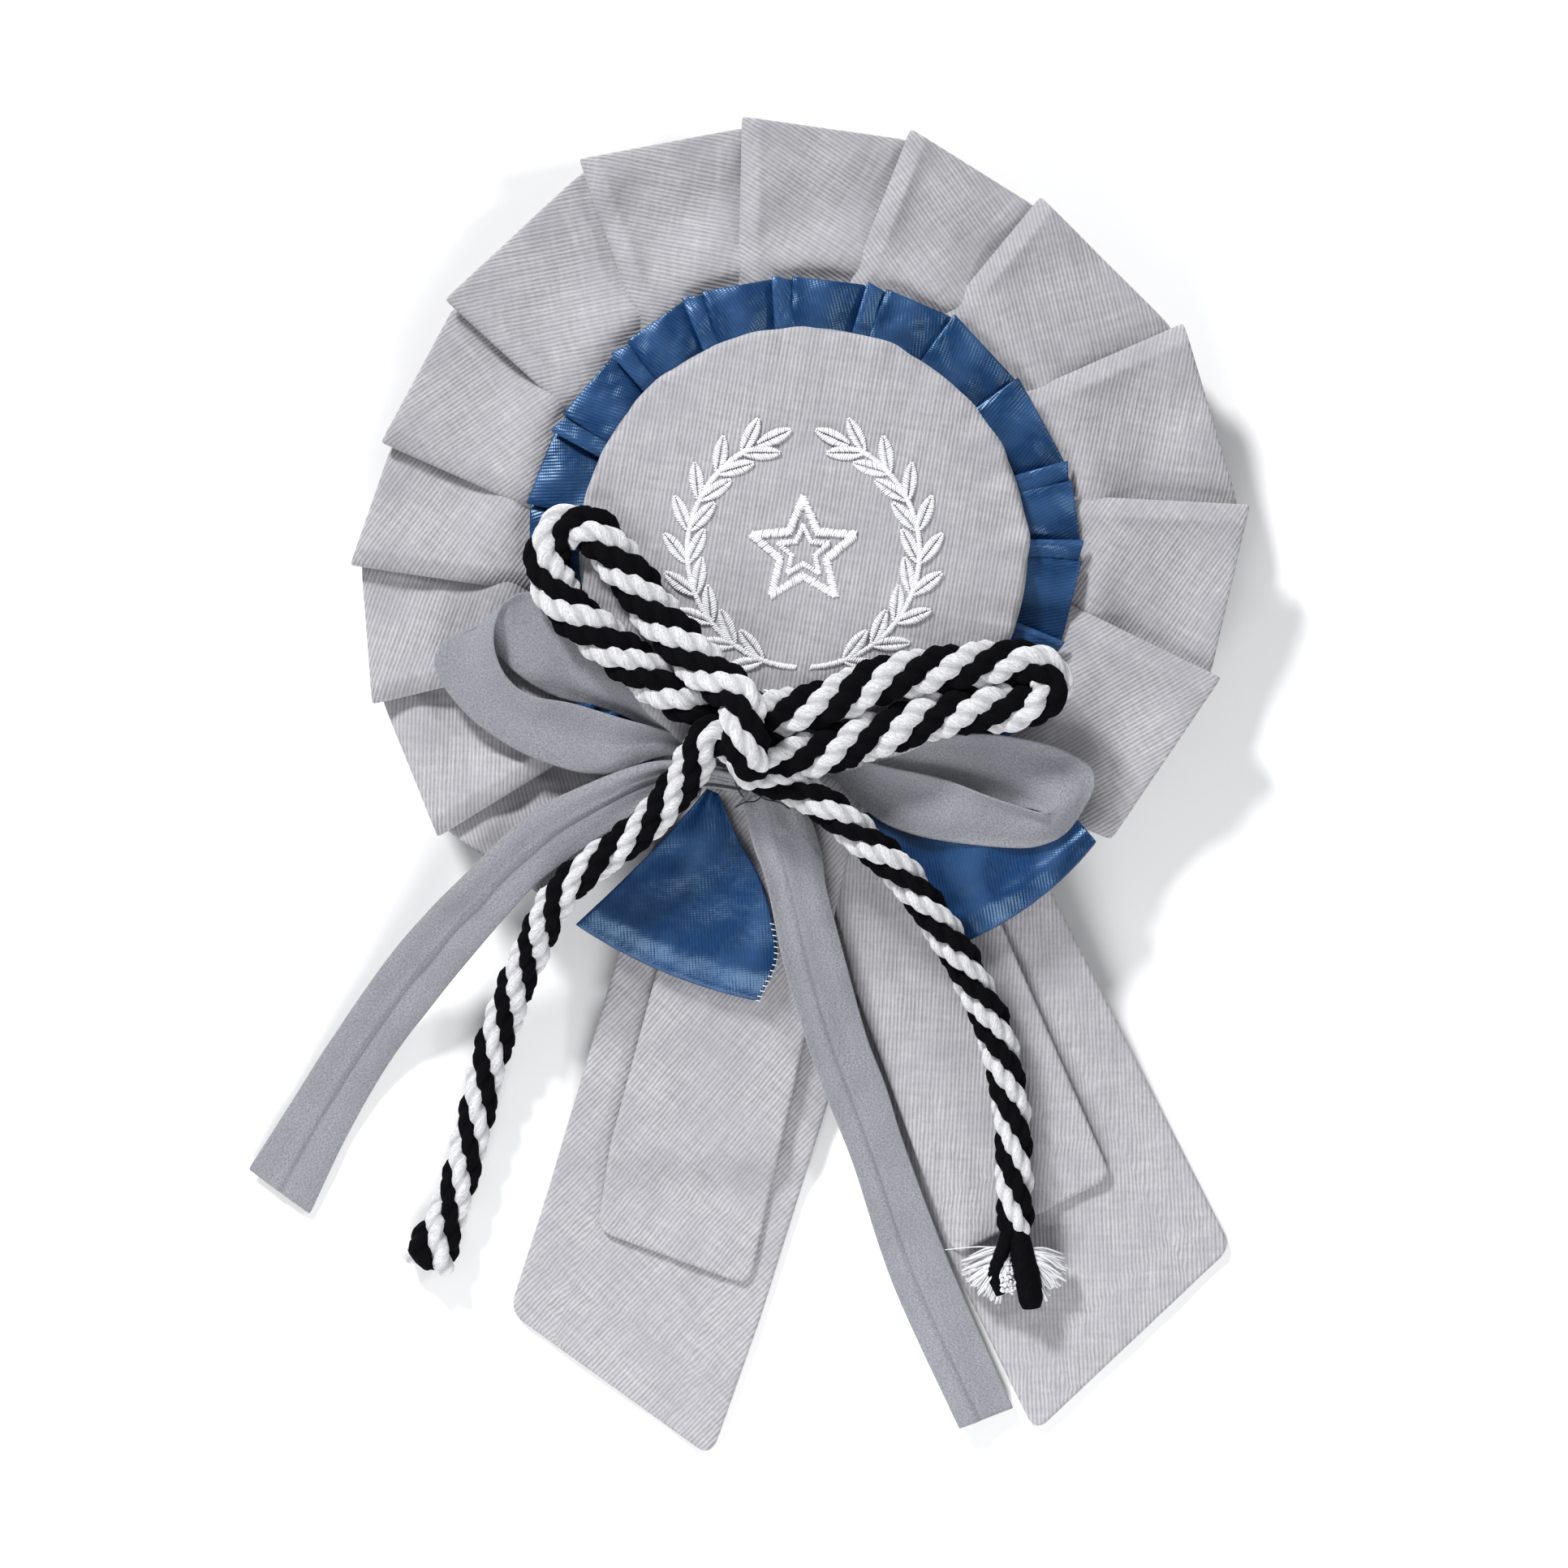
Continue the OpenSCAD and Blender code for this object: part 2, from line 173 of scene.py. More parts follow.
def capped_rings(rows, sides):
    """Faces of a tube of rings with its two ends closed."""
    last = (rows - 1) * sides
    ends = [tuple(range(sides)), tuple(reversed(range(last, last + sides)))]
    return quads(rows, sides, closed=True) + ends


def piece(name, verts, faces, material, coordinates=None, levels=0, wrap=None):
    """A mesh in the row frame that rides on the badge.
    Coordinates are two numbers a vertex, in millimetres. Where the second one starts again after
    every turn, wrap is its length."""
    mesh = bpy.data.meshes.new(name)
    mesh.from_pydata([tuple(v) for v in verts], [], faces)
    if coordinates is not None:
        layer = mesh.uv_layers.new(name="cloth")
        corner = np.zeros(len(mesh.loops), np.int32)
        mesh.loops.foreach_get("vertex_index", corner)
        spread = np.asarray(coordinates, np.float32)[corner]
        if wrap:
            starts = np.concatenate([[0], np.cumsum([len(f) for f in faces])[:-1]])
            sizes = np.diff(np.append(starts, len(spread)))
            furthest = np.repeat(np.maximum.reduceat(spread[:, 1], starts), sizes)
            spread[:, 1] += np.where(furthest - spread[:, 1] > wrap / 2, wrap, 0)
        layer.data.foreach_set("uv", spread.ravel())
    mesh.polygons.foreach_set("use_smooth", [True] * len(mesh.polygons))
    mesh.update()
    obj = bpy.data.objects.new(name, mesh)
    bpy.context.scene.collection.objects.link(obj)
    for each in material if isinstance(material, list) else [material]:
        mesh.materials.append(each)
    if levels:
        rounded = obj.modifiers.new("rounded", "SUBSURF")
        rounded.levels = levels
        rounded.render_levels = levels
        rounded.uv_smooth = "NONE"
    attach(obj, BODY)
    return obj


def cloth_solid(grid, thickness):
    """Vertices and faces of a sheet with a front, a back and a rim, from its middle surface."""
    rows, columns = grid.shape[:2]
    n = normals_of(grid)
    half = np.asarray(thickness) / 2
    front = (grid + n * half).reshape(-1, 3)
    back = (grid - n * half).reshape(-1, 3)
    count = rows * columns
    faces = quads(rows, columns)
    faces += [tuple(v + count for v in reversed(f)) for f in faces]
    rim = list(range(columns))
    rim += [i * columns + columns - 1 for i in range(1, rows)]
    rim += [(rows - 1) * columns + k for k in range(columns - 2, -1, -1)]
    rim += [i * columns for i in range(rows - 2, 0, -1)]
    for k, a in enumerate(rim):
        b = rim[(k + 1) % len(rim)]
        faces.append((a, b, b + count, a + count))
    return np.vstack([front, back]), faces


def cloth(name, grid, thickness, material, coordinates):
    """A rounded piece of cloth of one grid."""
    verts, faces = cloth_solid(grid, thickness)
    flat = coordinates.reshape(-1, 2)
    return piece(name, to_row(verts), faces, material, np.vstack([flat, flat]), levels=1)


def ribbon_grid(first_edge, second_edge, along, across, arch=0.0):
    """Middle surface between two smooth edges. Arch lifts its middle, in millimetres."""
    a = through(first_edge, along)[:, None, :]
    b = through(second_edge, along)[:, None, :]
    t = np.linspace(0, 1, across)[None, :, None]
    grid = a + (b - a) * t
    lift = arch * 4 * t * (1 - t)
    return grid + normals_of(grid) * lift


def tube(route, radii, sides):
    """Vertices of a round tube along a route, ring by ring."""
    tangent = unit(np.gradient(route, axis=0))
    side = np.cross(tangent, [0.0, 0.0, 1.0])
    short = np.linalg.norm(side, axis=1) < 1e-6
    side[short] = [1.0, 0.0, 0.0]
    side = unit(side)
    up = np.cross(side, tangent)
    turn = np.linspace(0, 2 * math.pi, sides, endpoint=False)
    rings = (route[:, None, :] + np.asarray(radii).reshape(-1, 1, 1) * (
        side[:, None, :] * np.cos(turn)[None, :, None] + up[:, None, :] * np.sin(turn)[None, :, None]))
    return rings.reshape(-1, 3)


class Bundle:
    """Parts gathered into one mesh, each with its cloth coordinates and one of the mesh's materials."""

    def __init__(self):
        self.verts, self.faces, self.uv, self.colours = [], [], [], []
        self.size = 0

    def add(self, verts, faces, uv, colour=0):
        self.verts.append(verts)
        self.faces += [tuple(n + self.size for n in face) for face in faces]
        self.uv.append(uv)
        self.colours += [colour] * len(faces)
        self.size += len(verts)

    def add_thread(self, route, radii, sides, run, round_it=1.0, colour=0):
        """A closed tube. Run is the first cloth coordinate of each ring, round_it the second's span."""
        uv = np.stack([np.repeat(run, sides), np.tile(np.linspace(0, round_it, sides), len(route))], axis=1)
        self.add(tube(route, radii, sides), capped_rings(len(route), sides), uv, colour)

    def made(self, name, material, slot, levels=0):
        verts = to_row(np.vstack(self.verts))
        obj = piece(name, verts, self.faces, material, np.vstack(self.uv), levels=levels)
        obj.data.polygons.foreach_set("material_index", self.colours)
        return obj


# ---- materials


def srgb(red, green, blue):
    """Linear colour from the usual 0 to 255 numbers."""
    def linear(c):
        c = c / 255
        return c / 12.92 if c <= 0.04045 else ((c + 0.055) / 1.055) ** 2.4
    return (linear(red), linear(green), linear(blue), 1.0)


class Look:
    """A material and a short way to write its nodes."""

    def __init__(self, name, roughness, **inputs):
        self.material = bpy.data.materials.new(name)
        self.material.use_nodes = True
        self.nodes = self.material.node_tree.nodes
        self.shader = self.nodes["Principled BSDF"]
        self.shader.inputs["Roughness"].default_value = roughness
        for key, value in inputs.items():
            self.shader.inputs[key.replace("_", " ")].default_value = value

    def link(self, source, target):
        self.material.node_tree.links.new(source, target)

    def add(self, kind, inputs=(), **settings):
        node = self.nodes.new("ShaderNode" + kind)
        for key, value in settings.items():
            setattr(node, key, value)
        for key, value in dict(inputs).items():
            if isinstance(value, bpy.types.NodeSocket):
                self.link(value, node.inputs[key])
            else:
                node.inputs[key].default_value = value
        return node

    def math(self, operation, a, b=0.0, c=0.0):
        return self.add("Math", {0: a, 1: b, 2: c}, operation=operation).outputs[0]

    def cloth_uv(self):
        return self.add("UVMap", uv_map="cloth").outputs[0]

    def place(self):
        """Position in the row frame, in millimetres."""
        shared = self.add("TexCoord").outputs["Object"]
        return self.add("VectorMath", {0: shared, "Scale": 1 / MM}, operation="SCALE").outputs[0]

    def split(self, vector):
        return self.add("SeparateXYZ", {0: vector}).outputs

    def noise(self, vector, scale, detail=3.0, roughness=0.55):
        inputs = {"Vector": vector, "Scale": scale, "Detail": detail, "Roughness": roughness}
        return self.add("TexNoise", inputs).outputs["Fac"]

    def streaks(self, vector, x, y, z=1.0, detail=3.0, roughness=0.55):
        """Noise with a scale of its own along each coordinate."""
        stretched = self.add("VectorMath", {0: vector, 1: (x, y, z)}, operation="MULTIPLY").outputs[0]
        return self.noise(stretched, 1.0, detail, roughness)

    def wave(self, coordinate, period):
        """0 to 1 and back over each period."""
        angle = self.math("MULTIPLY", coordinate, 2 * math.pi / period)
        return self.math("MULTIPLY_ADD", self.math("SINE", angle), 0.5, 0.5)

    def ramp(self, value, low, high):
        return self.add("MapRange", {0: value, 1: low, 2: high}).outputs[0]

    def mix(self, amount, a, b):
        node = self.add("Mix", data_type="RGBA")
        for socket, value in ((0, amount), (6, a), (7, b)):
            if isinstance(value, bpy.types.NodeSocket):
                self.link(value, node.inputs[socket])
            else:
                node.inputs[socket].default_value = value
        return node.outputs[2]

    def colour(self, socket):
        self.link(socket, self.shader.inputs["Base Color"])

    def rough(self, value, low, high):
        spread = self.add("MapRange", {0: value, 3: low, 4: high})
        self.link(spread.outputs[0], self.shader.inputs["Roughness"])

    def bump(self, *layers):
        """Layers are (height, distance in millimetres), the coarsest first."""
        normal = None
        for height, distance in layers:
            node = self.add("Bump", {"Height": height, "Strength": 1.0, "Distance": distance * MM})
            if normal is not None:
                self.link(normal, node.inputs["Normal"])
            normal = node.outputs[0]
        self.link(normal, self.shader.inputs["Normal"])


# Spacing of the twill's wales, the satin's ribs and its weft, in millimetres
WALE = 0.525
RIB = 0.42
WEFT = 0.3
# Cloth coordinate round one ply of a strand
PLY_ROUND = 2.5


def twill(name, light, dark, shade):
    """Cotton twill: wales across the first cloth coordinate, broken into short floats along them."""
    look = Look(name, 0.9, Sheen_Weight=0.2, Sheen_Roughness=0.5, Specular_IOR_Level=0.3)
    uv = look.cloth_uv()
    wobble = look.streaks(uv, 0.5, 0.12, detail=2.0)
    across = look.math("MULTIPLY_ADD", wobble, 0.25, look.split(uv)[0])
    wale = look.wave(across, WALE)
    thread = look.streaks(uv, 5.0, 1.6)
    slub = look.streaks(uv, 1.6, 0.16, detail=2.0)
    pick = look.streaks(uv, 0.2, 1.4, detail=2.0)
    cloud = look.streaks(uv, 0.1, 0.1, detail=5.0, roughness=0.65)
    tone = look.math("MULTIPLY", wale, 0.8)
    for uneven, share in ((thread, 0.9), (slub, 0.9), (pick, 0.8)):
        tone = look.math("MULTIPLY_ADD", look.math("SUBTRACT", uneven, 0.5), share, tone)
    body = look.mix(look.ramp(tone, -0.15, 1.0), dark, light)
    look.colour(look.mix(look.ramp(cloud, 0.4, 0.7), body, look.mix(0.6, body, shade)))
    look.rough(thread, 0.8, 0.95)
    look.bump((cloud, 0.5), (slub, 0.06), (wale, 0.045), (thread, 0.02))
    return look.material


def satin(name):
    """Blue ribbon with fine ribs across the first cloth coordinate."""
    look = Look(name, 0.36, Specular_IOR_Level=0.75, Specular_Tint=(0.5, 0.75, 1.0, 1.0))
    uv = look.cloth_uv()
    x, y, _ = look.split(uv)
    wobble = look.streaks(uv, 0.4, 0.1, detail=2.0)
    rib = look.wave(look.math("MULTIPLY_ADD", wobble, 0.2, x), RIB)
    weft = look.wave(y, WEFT)
    thread = look.streaks(uv, 6.0, 0.7, detail=2.0)
    cloud = look.streaks(uv, 0.14, 0.14)
    tone = look.math("MULTIPLY_ADD", rib, 0.4, look.math("MULTIPLY", thread, 0.8))
    body = look.mix(look.ramp(tone, 0.2, 0.9), srgb(4, 27, 60), srgb(15, 60, 110))
    shaded = look.mix(look.ramp(cloud, 0.4, 0.7), body, look.mix(0.6, body, srgb(6, 35, 72)))
    # Painted sheen: broad lighter blue patches stand in for highlights on the satin
    painted_sheen = look.ramp(look.streaks(uv, 0.16, 0.1, detail=0.0), 0.5, 1.15)
    look.colour(look.mix(painted_sheen, shaded, srgb(74, 112, 162)))
    look.rough(thread, 0.28, 0.42)
    look.bump((cloud, 0.5), (rib, 0.02), (weft, 0.008))
    return look.material


def chiffon(name):
    """Matte crepe chiffon with a fine pebbled grain."""
    look = Look(name, 0.95, Sheen_Weight=0.4, Sheen_Roughness=0.6, Specular_IOR_Level=0.2)
    uv = look.cloth_uv()
    grain = look.noise(uv, 3.4, 3.0, 0.8)
    fine = look.streaks(uv, 7.0, 4.0, detail=2.0)
    cloud = look.noise(uv, 0.2, 4.0, 0.6)
    speckle = look.math("MULTIPLY_ADD", fine, 0.5, grain)
    body = look.mix(look.ramp(speckle, 0.52, 0.98), srgb(97, 98, 104), srgb(160, 161, 169))
    look.colour(look.mix(look.ramp(cloud, 0.35, 0.7), body, look.mix(0.4, body, srgb(118, 119, 125))))
    look.rough(grain, 0.88, 0.98)
    look.bump((cloud, 0.45), (grain, 0.06), (fine, 0.03))
    return look.material


def yarn(name, deep, light, sheen, grain=0.04, gloss=0.3):
    """Twisted fibre. The first cloth coordinate goes along it and the second round its plies."""
    look = Look(name, 0.85, Sheen_Weight=sheen, Sheen_Roughness=0.5, Specular_IOR_Level=gloss)
    uv = look.cloth_uv()
    ply = look.wave(look.math("ADD", look.split(uv)[1], PLY_ROUND / 4), PLY_ROUND)
    fibres = look.streaks(uv, 0.9, 5.0, detail=3.0, roughness=0.6)
    fluff = look.noise(uv, 4.0, 4.0, 0.75)
    tone = look.math("MULTIPLY_ADD", fluff, 0.5, look.math("MULTIPLY", fibres, 0.5))
    body = look.mix(look.ramp(tone, 0.32, 0.62), deep, light)
    # Painted shade: the colour darkens towards the deep tone in the grooves between the plies
    look.colour(look.mix(look.ramp(ply, 0.0, 0.45), look.mix(0.55, body, deep), body))
    look.rough(fluff, 0.75, 0.95)
    look.bump((fluff, grain * 3), (fibres, grain * 2))
    return look.material


def felt(name, deep, light):
    """Matted fibres."""
    look = Look(name, 1.0, Sheen_Weight=0.3, Sheen_Roughness=0.6)
    spot = look.place()
    matted = look.noise(spot, 1.8, 6.0, 0.7)
    strands = look.streaks(spot, 1.0, 6.0, 2.0, detail=4.0, roughness=0.7)
    tone = look.math("MULTIPLY_ADD", strands, 0.5, look.math("MULTIPLY", matted, 0.5))
    look.colour(look.mix(look.ramp(tone, 0.35, 0.65), deep, light))
    look.rough(matted, 0.9, 1.0)
    look.bump((matted, 0.2), (strands, 0.08))
    return look.material


def steel(name):
    """Brushed and plated steel."""
    look = Look(name, 0.28, Metallic=1.0)
    spot = look.place()
    lines = look.streaks(spot, 0.4, 9.0, 9.0)
    spots = look.noise(spot, 0.7, 4.0)
    look.colour(look.mix(look.ramp(spots, 0.4, 0.8), (0.6, 0.6, 0.61, 1.0), (0.48, 0.47, 0.46, 1.0)))
    look.rough(look.math("MULTIPLY_ADD", lines, 0.5, look.math("MULTIPLY", spots, 0.5)), 0.2, 0.42)
    look.bump((lines, 0.006))
    return look.material


TWILL = twill("grey_twill", srgb(188, 187, 191), srgb(141, 140, 145), srgb(152, 152, 158))
SATIN = satin("blue_satin")
CHIFFON = chiffon("grey_chiffon")
WHITE_CORD = yarn("white_cotton", srgb(158, 158, 162), srgb(236, 236, 238), 0.2)
BLACK_CORD = yarn("black_cotton", srgb(2, 2, 4), srgb(11, 11, 15), 0.0, gloss=0.06)
WHITE_THREAD = yarn("white_thread", srgb(214, 214, 220), srgb(250, 250, 253), 0.3, 0.02)
DARK_THREAD = yarn("dark_thread", srgb(20, 20, 24), srgb(60, 60, 66), 0.2, 0.02)
FELT = felt("grey_felt", srgb(150, 149, 151), srgb(196, 195, 197))
CARD = felt("brown_card", srgb(150, 132, 106), srgb(178, 160, 132))
WADDING = felt("white_wadding", srgb(225, 225, 222), srgb(245, 245, 243))
STEEL = steel("plated_steel")

# ---- cord

# The CAD's route of the cord in metres: left tail, knot, right loop, knot, left loop, knot, right tail
CORD_ROUTE = [
    [-0.0492, -0.0932, 0.0005], [-0.0445, -0.0806, 0.0005], [-0.0408, -0.066, 0.0016],
    [-0.0366, -0.0546, 0.0044], [-0.0308, -0.0436, 0.0112], [-0.0214, -0.0362, 0.0128],
    [-0.0154, -0.0294, 0.0146], [-0.0118, -0.0238, 0.017], [-0.0065, -0.026, 0.0158],
    [0.0005, -0.0264, 0.0148], [0.01, -0.0234, 0.0146], [0.02, -0.0206, 0.0144],
    [0.0284, -0.02, 0.014], [0.0318, -0.0172, 0.0138], [0.0284, -0.0144, 0.0138],
    [0.02, -0.0151, 0.0146], [0.011, -0.0164, 0.0149], [0.0025, -0.0196, 0.015],
    [-0.0045, -0.021, 0.0146], [-0.011, -0.0206, 0.0143], [-0.0172, -0.018, 0.0143],
    [-0.0298, -0.0078, 0.014], [-0.033, -0.002, 0.0128], [-0.0314, 0.0026, 0.0128],
    [-0.0274, 0.0028, 0.014], [-0.0236, -0.0016, 0.0144], [-0.0185, -0.0086, 0.015],
    [-0.0128, -0.015, 0.017], [-0.0086, -0.0187, 0.0194], [-0.0077, -0.0228, 0.0203],
    [-0.007, -0.026, 0.0194], [-0.0069, -0.0278, 0.0172], [-0.0052, -0.0288, 0.0146],
    [0.0008, -0.0314, 0.0138], [0.0068, -0.0362, 0.0133], [0.0128, -0.0418, 0.0122],
    [0.019, -0.0504, 0.0098], [0.0244, -0.061, 0.006], [0.027, -0.0724, 0.0034],
    [0.0276, -0.0889, 0.0025],
]
# Points of the route between which the cord is pressed flat
FLAT_FROM = 7
FLAT_TO = 31
CORD_PITCH = 0.0176
PLY_PITCH = 0.0088
STRAND_OFFSET = 0.00122
STRAND_SIDES = 24
PLIES = 3
RING_STEP = 0.0004
# Length of the bulky fold at the left end, and of both ends' rounding
END_FOLD = 0.0052
END_ROUND = 0.0018


def strand_radius(angle):
    """Outline of three soft plies that touch, in metres."""
    lobe = 2 * math.pi / PLIES
    off = (angle + lobe / 2) % lobe - lobe / 2
    reach, ply = 0.00052, 0.00072
    return reach * np.cos(off) + np.sqrt(ply ** 2 - (reach * np.sin(off)) ** 2)


def cord_flatness(middle, route):
    """How far each point of the middle line is pressed flat, from 0 to 1."""
    spread = np.linalg.norm(middle[:, None, :] - route[None, :, :], axis=2)
    nearest = spread.argmin(axis=1)
    soft = ease((nearest - FLAT_FROM + 2) / 4) * ease((FLAT_TO + 2 - nearest) / 4)
    kernel = np.ones(25) / 25
    return np.convolve(np.pad(soft, 12, mode="edge"), kernel, mode="valid")


def make_cord():
    """Four three-ply strands, two white and two black, laid round each other."""
    route = np.array(CORD_ROUTE) + CENTRE
    count = int(curve_length(through(route, 800)) / RING_STEP)
    middle = through(route, count)
    tangent = unit(np.gradient(middle, axis=0))
    side = unit(np.cross([0.0, 0.0, 1.0], tangent))
    up = np.cross(tangent, side)
    travel = np.linspace(0, curve_length(middle), count)
    flat = cord_flatness(middle, route)
    wide = 1.06 + 0.28 * flat
    high = 1 - 0.2 * flat
    from_end = np.minimum(travel, travel[-1] - travel)
    turn = np.linspace(0, 2 * math.pi, STRAND_SIDES, endpoint=False)
    swollen = np.exp(-(travel / END_FOLD) ** 2)
    round_end = 1 - np.clip(from_end / END_ROUND, 0, 1)
    tip = np.sqrt(np.clip(1 - round_end ** 2, 0.02, 1))
    rng = np.random.default_rng(3)
    strands = Bundle()
    for k in range(4):
        lay = math.pi / 2 * k - 2 * math.pi * travel / CORD_PITCH
        twist = 2 * math.pi * travel / PLY_PITCH + k
        swell = 1 + 0.06 * np.sin(travel / 0.0061 + k) + 0.04 * np.sin(travel / 0.0023 + 2 * k)
        swell = swell * (1 + 0.32 * swollen)
        radius = strand_radius(turn[None, :] - twist[:, None]) * (tip * swell)[:, None]
        radius *= 1 + rng.normal(0, 0.03, radius.shape)
        a = (STRAND_OFFSET * (1 + 0.75 * swollen) * np.cos(lay))[:, None] + radius * np.cos(turn)
        b = (STRAND_OFFSET * np.sin(lay))[:, None] + radius * np.sin(turn)
        rings = middle[:, None, :] + side[:, None, :] * (a * wide[:, None])[..., None]
        rings += up[:, None, :] * (b * high[:, None])[..., None]
        round_ply = (turn[None, :] - twist[:, None]) / (2 * math.pi) * PLIES * PLY_ROUND
        along = np.broadcast_to(travel[:, None] / MM + 40 * k, radius.shape)
        uv = np.stack([along, round_ply], axis=-1).reshape(-1, 2)
        strands.add(rings.reshape(-1, 3), capped_rings(count, STRAND_SIDES), uv, k % 2)
    cord = piece("twisted_cord", np.vstack(strands.verts), strands.faces, [WHITE_CORD, BLACK_CORD],
                 np.vstack(strands.uv), wrap=PLIES * PLY_ROUND)
    cord.data.polygons.foreach_set("material_index", strands.colours)
    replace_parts(cord, "cord_bow")
    return cord, middle


twisted_cord, cord_middle = make_cord()


FRAY_THREADS = 230
CUT_FIBRES = 150
WHITE, BLACK = 0, 1


def make_fray():
    """Loose threads that fan out to both sides of the cord's end, with the black ends of two strands."""
    rng = np.random.default_rng(5)
    end = np.array(CORD_ROUTE[-1]) / MM
    threads = Bundle()

    def add(points, count, radii, sides, colour=WHITE):
        route = through(points, count)
        threads.add_thread(route, radii, sides, np.linspace(0, curve_length(route), count), 3, colour)

    for sign, spread in ((-1, (192, 262)), (1, (-70, -6))):
        for _ in range(FRAY_THREADS):
            heading = math.radians(rng.uniform(*spread))
            reach = rng.uniform(4.0, 6.0)
            root = end + [sign * rng.uniform(0.7, 1.4), rng.uniform(-3.2, -1.4), rng.uniform(-0.8, 0.9)]
            tip = root + [reach * math.cos(heading), reach * math.sin(heading), 0]
            tip[2] = rng.uniform(0.3, 1.9)
            bend = (root + tip) / 2 + [0, rng.uniform(0.1, 0.6), rng.uniform(0.2, 1.0)]
            add([root, bend, tip], 8, np.linspace(0.17, 0.13, 8), 5)
    stray = end + [[-1.5, -1.4, 0.5], [-5, -1.2, 1.2], [-9.2, -1.6, 0.8]]
    add(stray, 12, np.linspace(0.1, 0.06, 12), 6)
    folded = end + [[0.2, 2.0, 0.4], [0.9, -2.4, 0.7], [1.7, -6.0, -0.2], [2.1, -9.2, -0.7]]
    add(folded, 24, np.interp(range(24), [0, 6, 14, 21, 23], [1.0, 1.5, 1.75, 1.6, 1.2]), 20, BLACK)
    bowed = end + [[-0.6, 1.6, 0.4], [-1.8, -2.0, 0.6], [-2.8, -4.8, 0.0], [-1.9, -7.4, -0.7]]
    add(bowed, 20, np.interp(range(20), [0, 8, 14, 19], [1.0, 1.0, 0.85, 0.7]), 16, BLACK)
    for _ in range(CUT_FIBRES):
        root = end + [rng.normal(-1.0, 0.55), rng.uniform(-7.2, -2.9), -1.2]
        tip = root + [rng.normal(0, 0.3), rng.normal(0.2, 0.3), rng.uniform(1.2, 2.2)]
        add([root, tip], 3, np.linspace(0.26, 0.2, 3), 5)
    fray = threads.made("cord_end_threads", [WHITE_THREAD, BLACK_CORD], "white_thread")
    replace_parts(fray, "cord_fray")
    return fray


end_threads = make_fray()

# ---- pleated strips

TWILL_T = 0.42
SATIN_T = 0.22


def weave_turned(grid, wale):
    """Cloth coordinates for wales that run in that direction, in degrees from +X."""
    a = math.radians(wale)
    x, y = grid[..., 0], grid[..., 1]
    return np.stack([-x * math.sin(a) + y * math.cos(a), x * math.cos(a) + y * math.sin(a)], axis=-1)


def fold_line(fold, r_in, r_knee, shares, short=0.0):
    """Points along a fold, from the inner edge to the tip.
    A fold is (tip angle, tip radius, angle at the knee)."""
    tip_angle, tip_r, knee_angle = fold
    knee = polar(r_knee, knee_angle)
    tip = polar(tip_r - short, tip_angle)
    inner = knee + (tip - knee) * (r_in - r_knee) / (tip_r - r_knee)
    return inner + (tip - inner) * shares[:, None]


def pleated(folds, r_in, r_knee, low, high, lap, roll, drop, step, rows, wale_turn, relief):
    """A strip of knife pleats.
    Each panel rises from under one fold to its own, rolls over and goes back under. The strip is
    almost as long at its inner edge as at its tips, so the pleats are deeper there."""
    shares = np.linspace(0, 1, rows) ** 0.9
    nose = high - drop
    grid, weave = [], []
    depth_before = np.zeros(rows)
    way_before = None
    for i, (before, after) in enumerate(zip(folds, folds[1:])):
        start = fold_line(before, r_in, r_knee, shares, step)
        finish = fold_line(after, r_in, r_knee, shares)
        hidden = fold_line(after, r_in, r_knee, shares, step / 2)
        width = np.linalg.norm(finish - start, axis=1)
        depth = lap + (width[-1] - width) * 0.45
        crest = width - roll
        section = []
        for t in (0, 0.07, 0.14, 0.22, 0.3, 0.38, 0.46, 0.54, 0.62, 0.7, 0.78, 0.86, 0.92, 0.97, 1):
            rise = low + (high - low) * (0.75 * ease(t) ** 0.8 + 0.25 * t ** 8)
            section.append((-depth_before + (crest + depth_before) * t, rise, t, False))
        for t in (0.12, 0.4, 0.7, 0.92):
            section.append((crest + roll * t, high - drop * (0.6 * t + 0.4 * t ** 3), 1.0, False))
        section.append((width, nose - 0.16, 1.0, False))
        section.append((width - 0.15, nose - 0.42, 1.0, True))
        section.append((width - depth / 2, nose - 0.5, 1.0, True))
        if i < len(folds) - 2:
            section.append((width - depth * 0.95, nose - 0.55, 1.0, True))
            section.append((width - depth - 0.15, (nose - 0.55 + low) / 2, 1.0, True))
        wale = (before[0] + after[0]) / 2 + wale_turn
        for run, z, share, under in section:
            way = unit((hidden if under else finish) - start)
            if way_before is not None:
                way = np.where(run[:, None] < 0, way_before, way)
            flat = start + way * run[:, None]
            line = np.column_stack([flat, np.full(rows, z)])
            line[:, 2] += relief(line, share, i) * (0.25 if under else 1.0)
            grid.append(line)
            weave.append(weave_turned(line, wale))
        depth_before = depth
        way_before = unit(hidden - start)
    return np.array(grid), np.array(weave)


# Folds of the outer rosette: angle and radius of the tip, and angle at the satin ring
ROSETTE_FOLDS = [
    (-43.0, 56.0, -55.0), (-16.8, 56.5, -11.6), (6.0, 58.2, 11.5), (31.0, 57.5, 35.4), (56.2, 55.4, 59.3),
    (75.7, 56.6, 79.8), (97.9, 57.0, 103.3), (119.6, 58.6, 125.9), (144.7, 56.8, 148.9), (165.3, 56.5, 170.6),
    (181.5, 58.7, 187.9), (199.3, 59.2, 203.2), (217.8, 60.0, 222.0), (232.0, 56.0, 238.0),
]


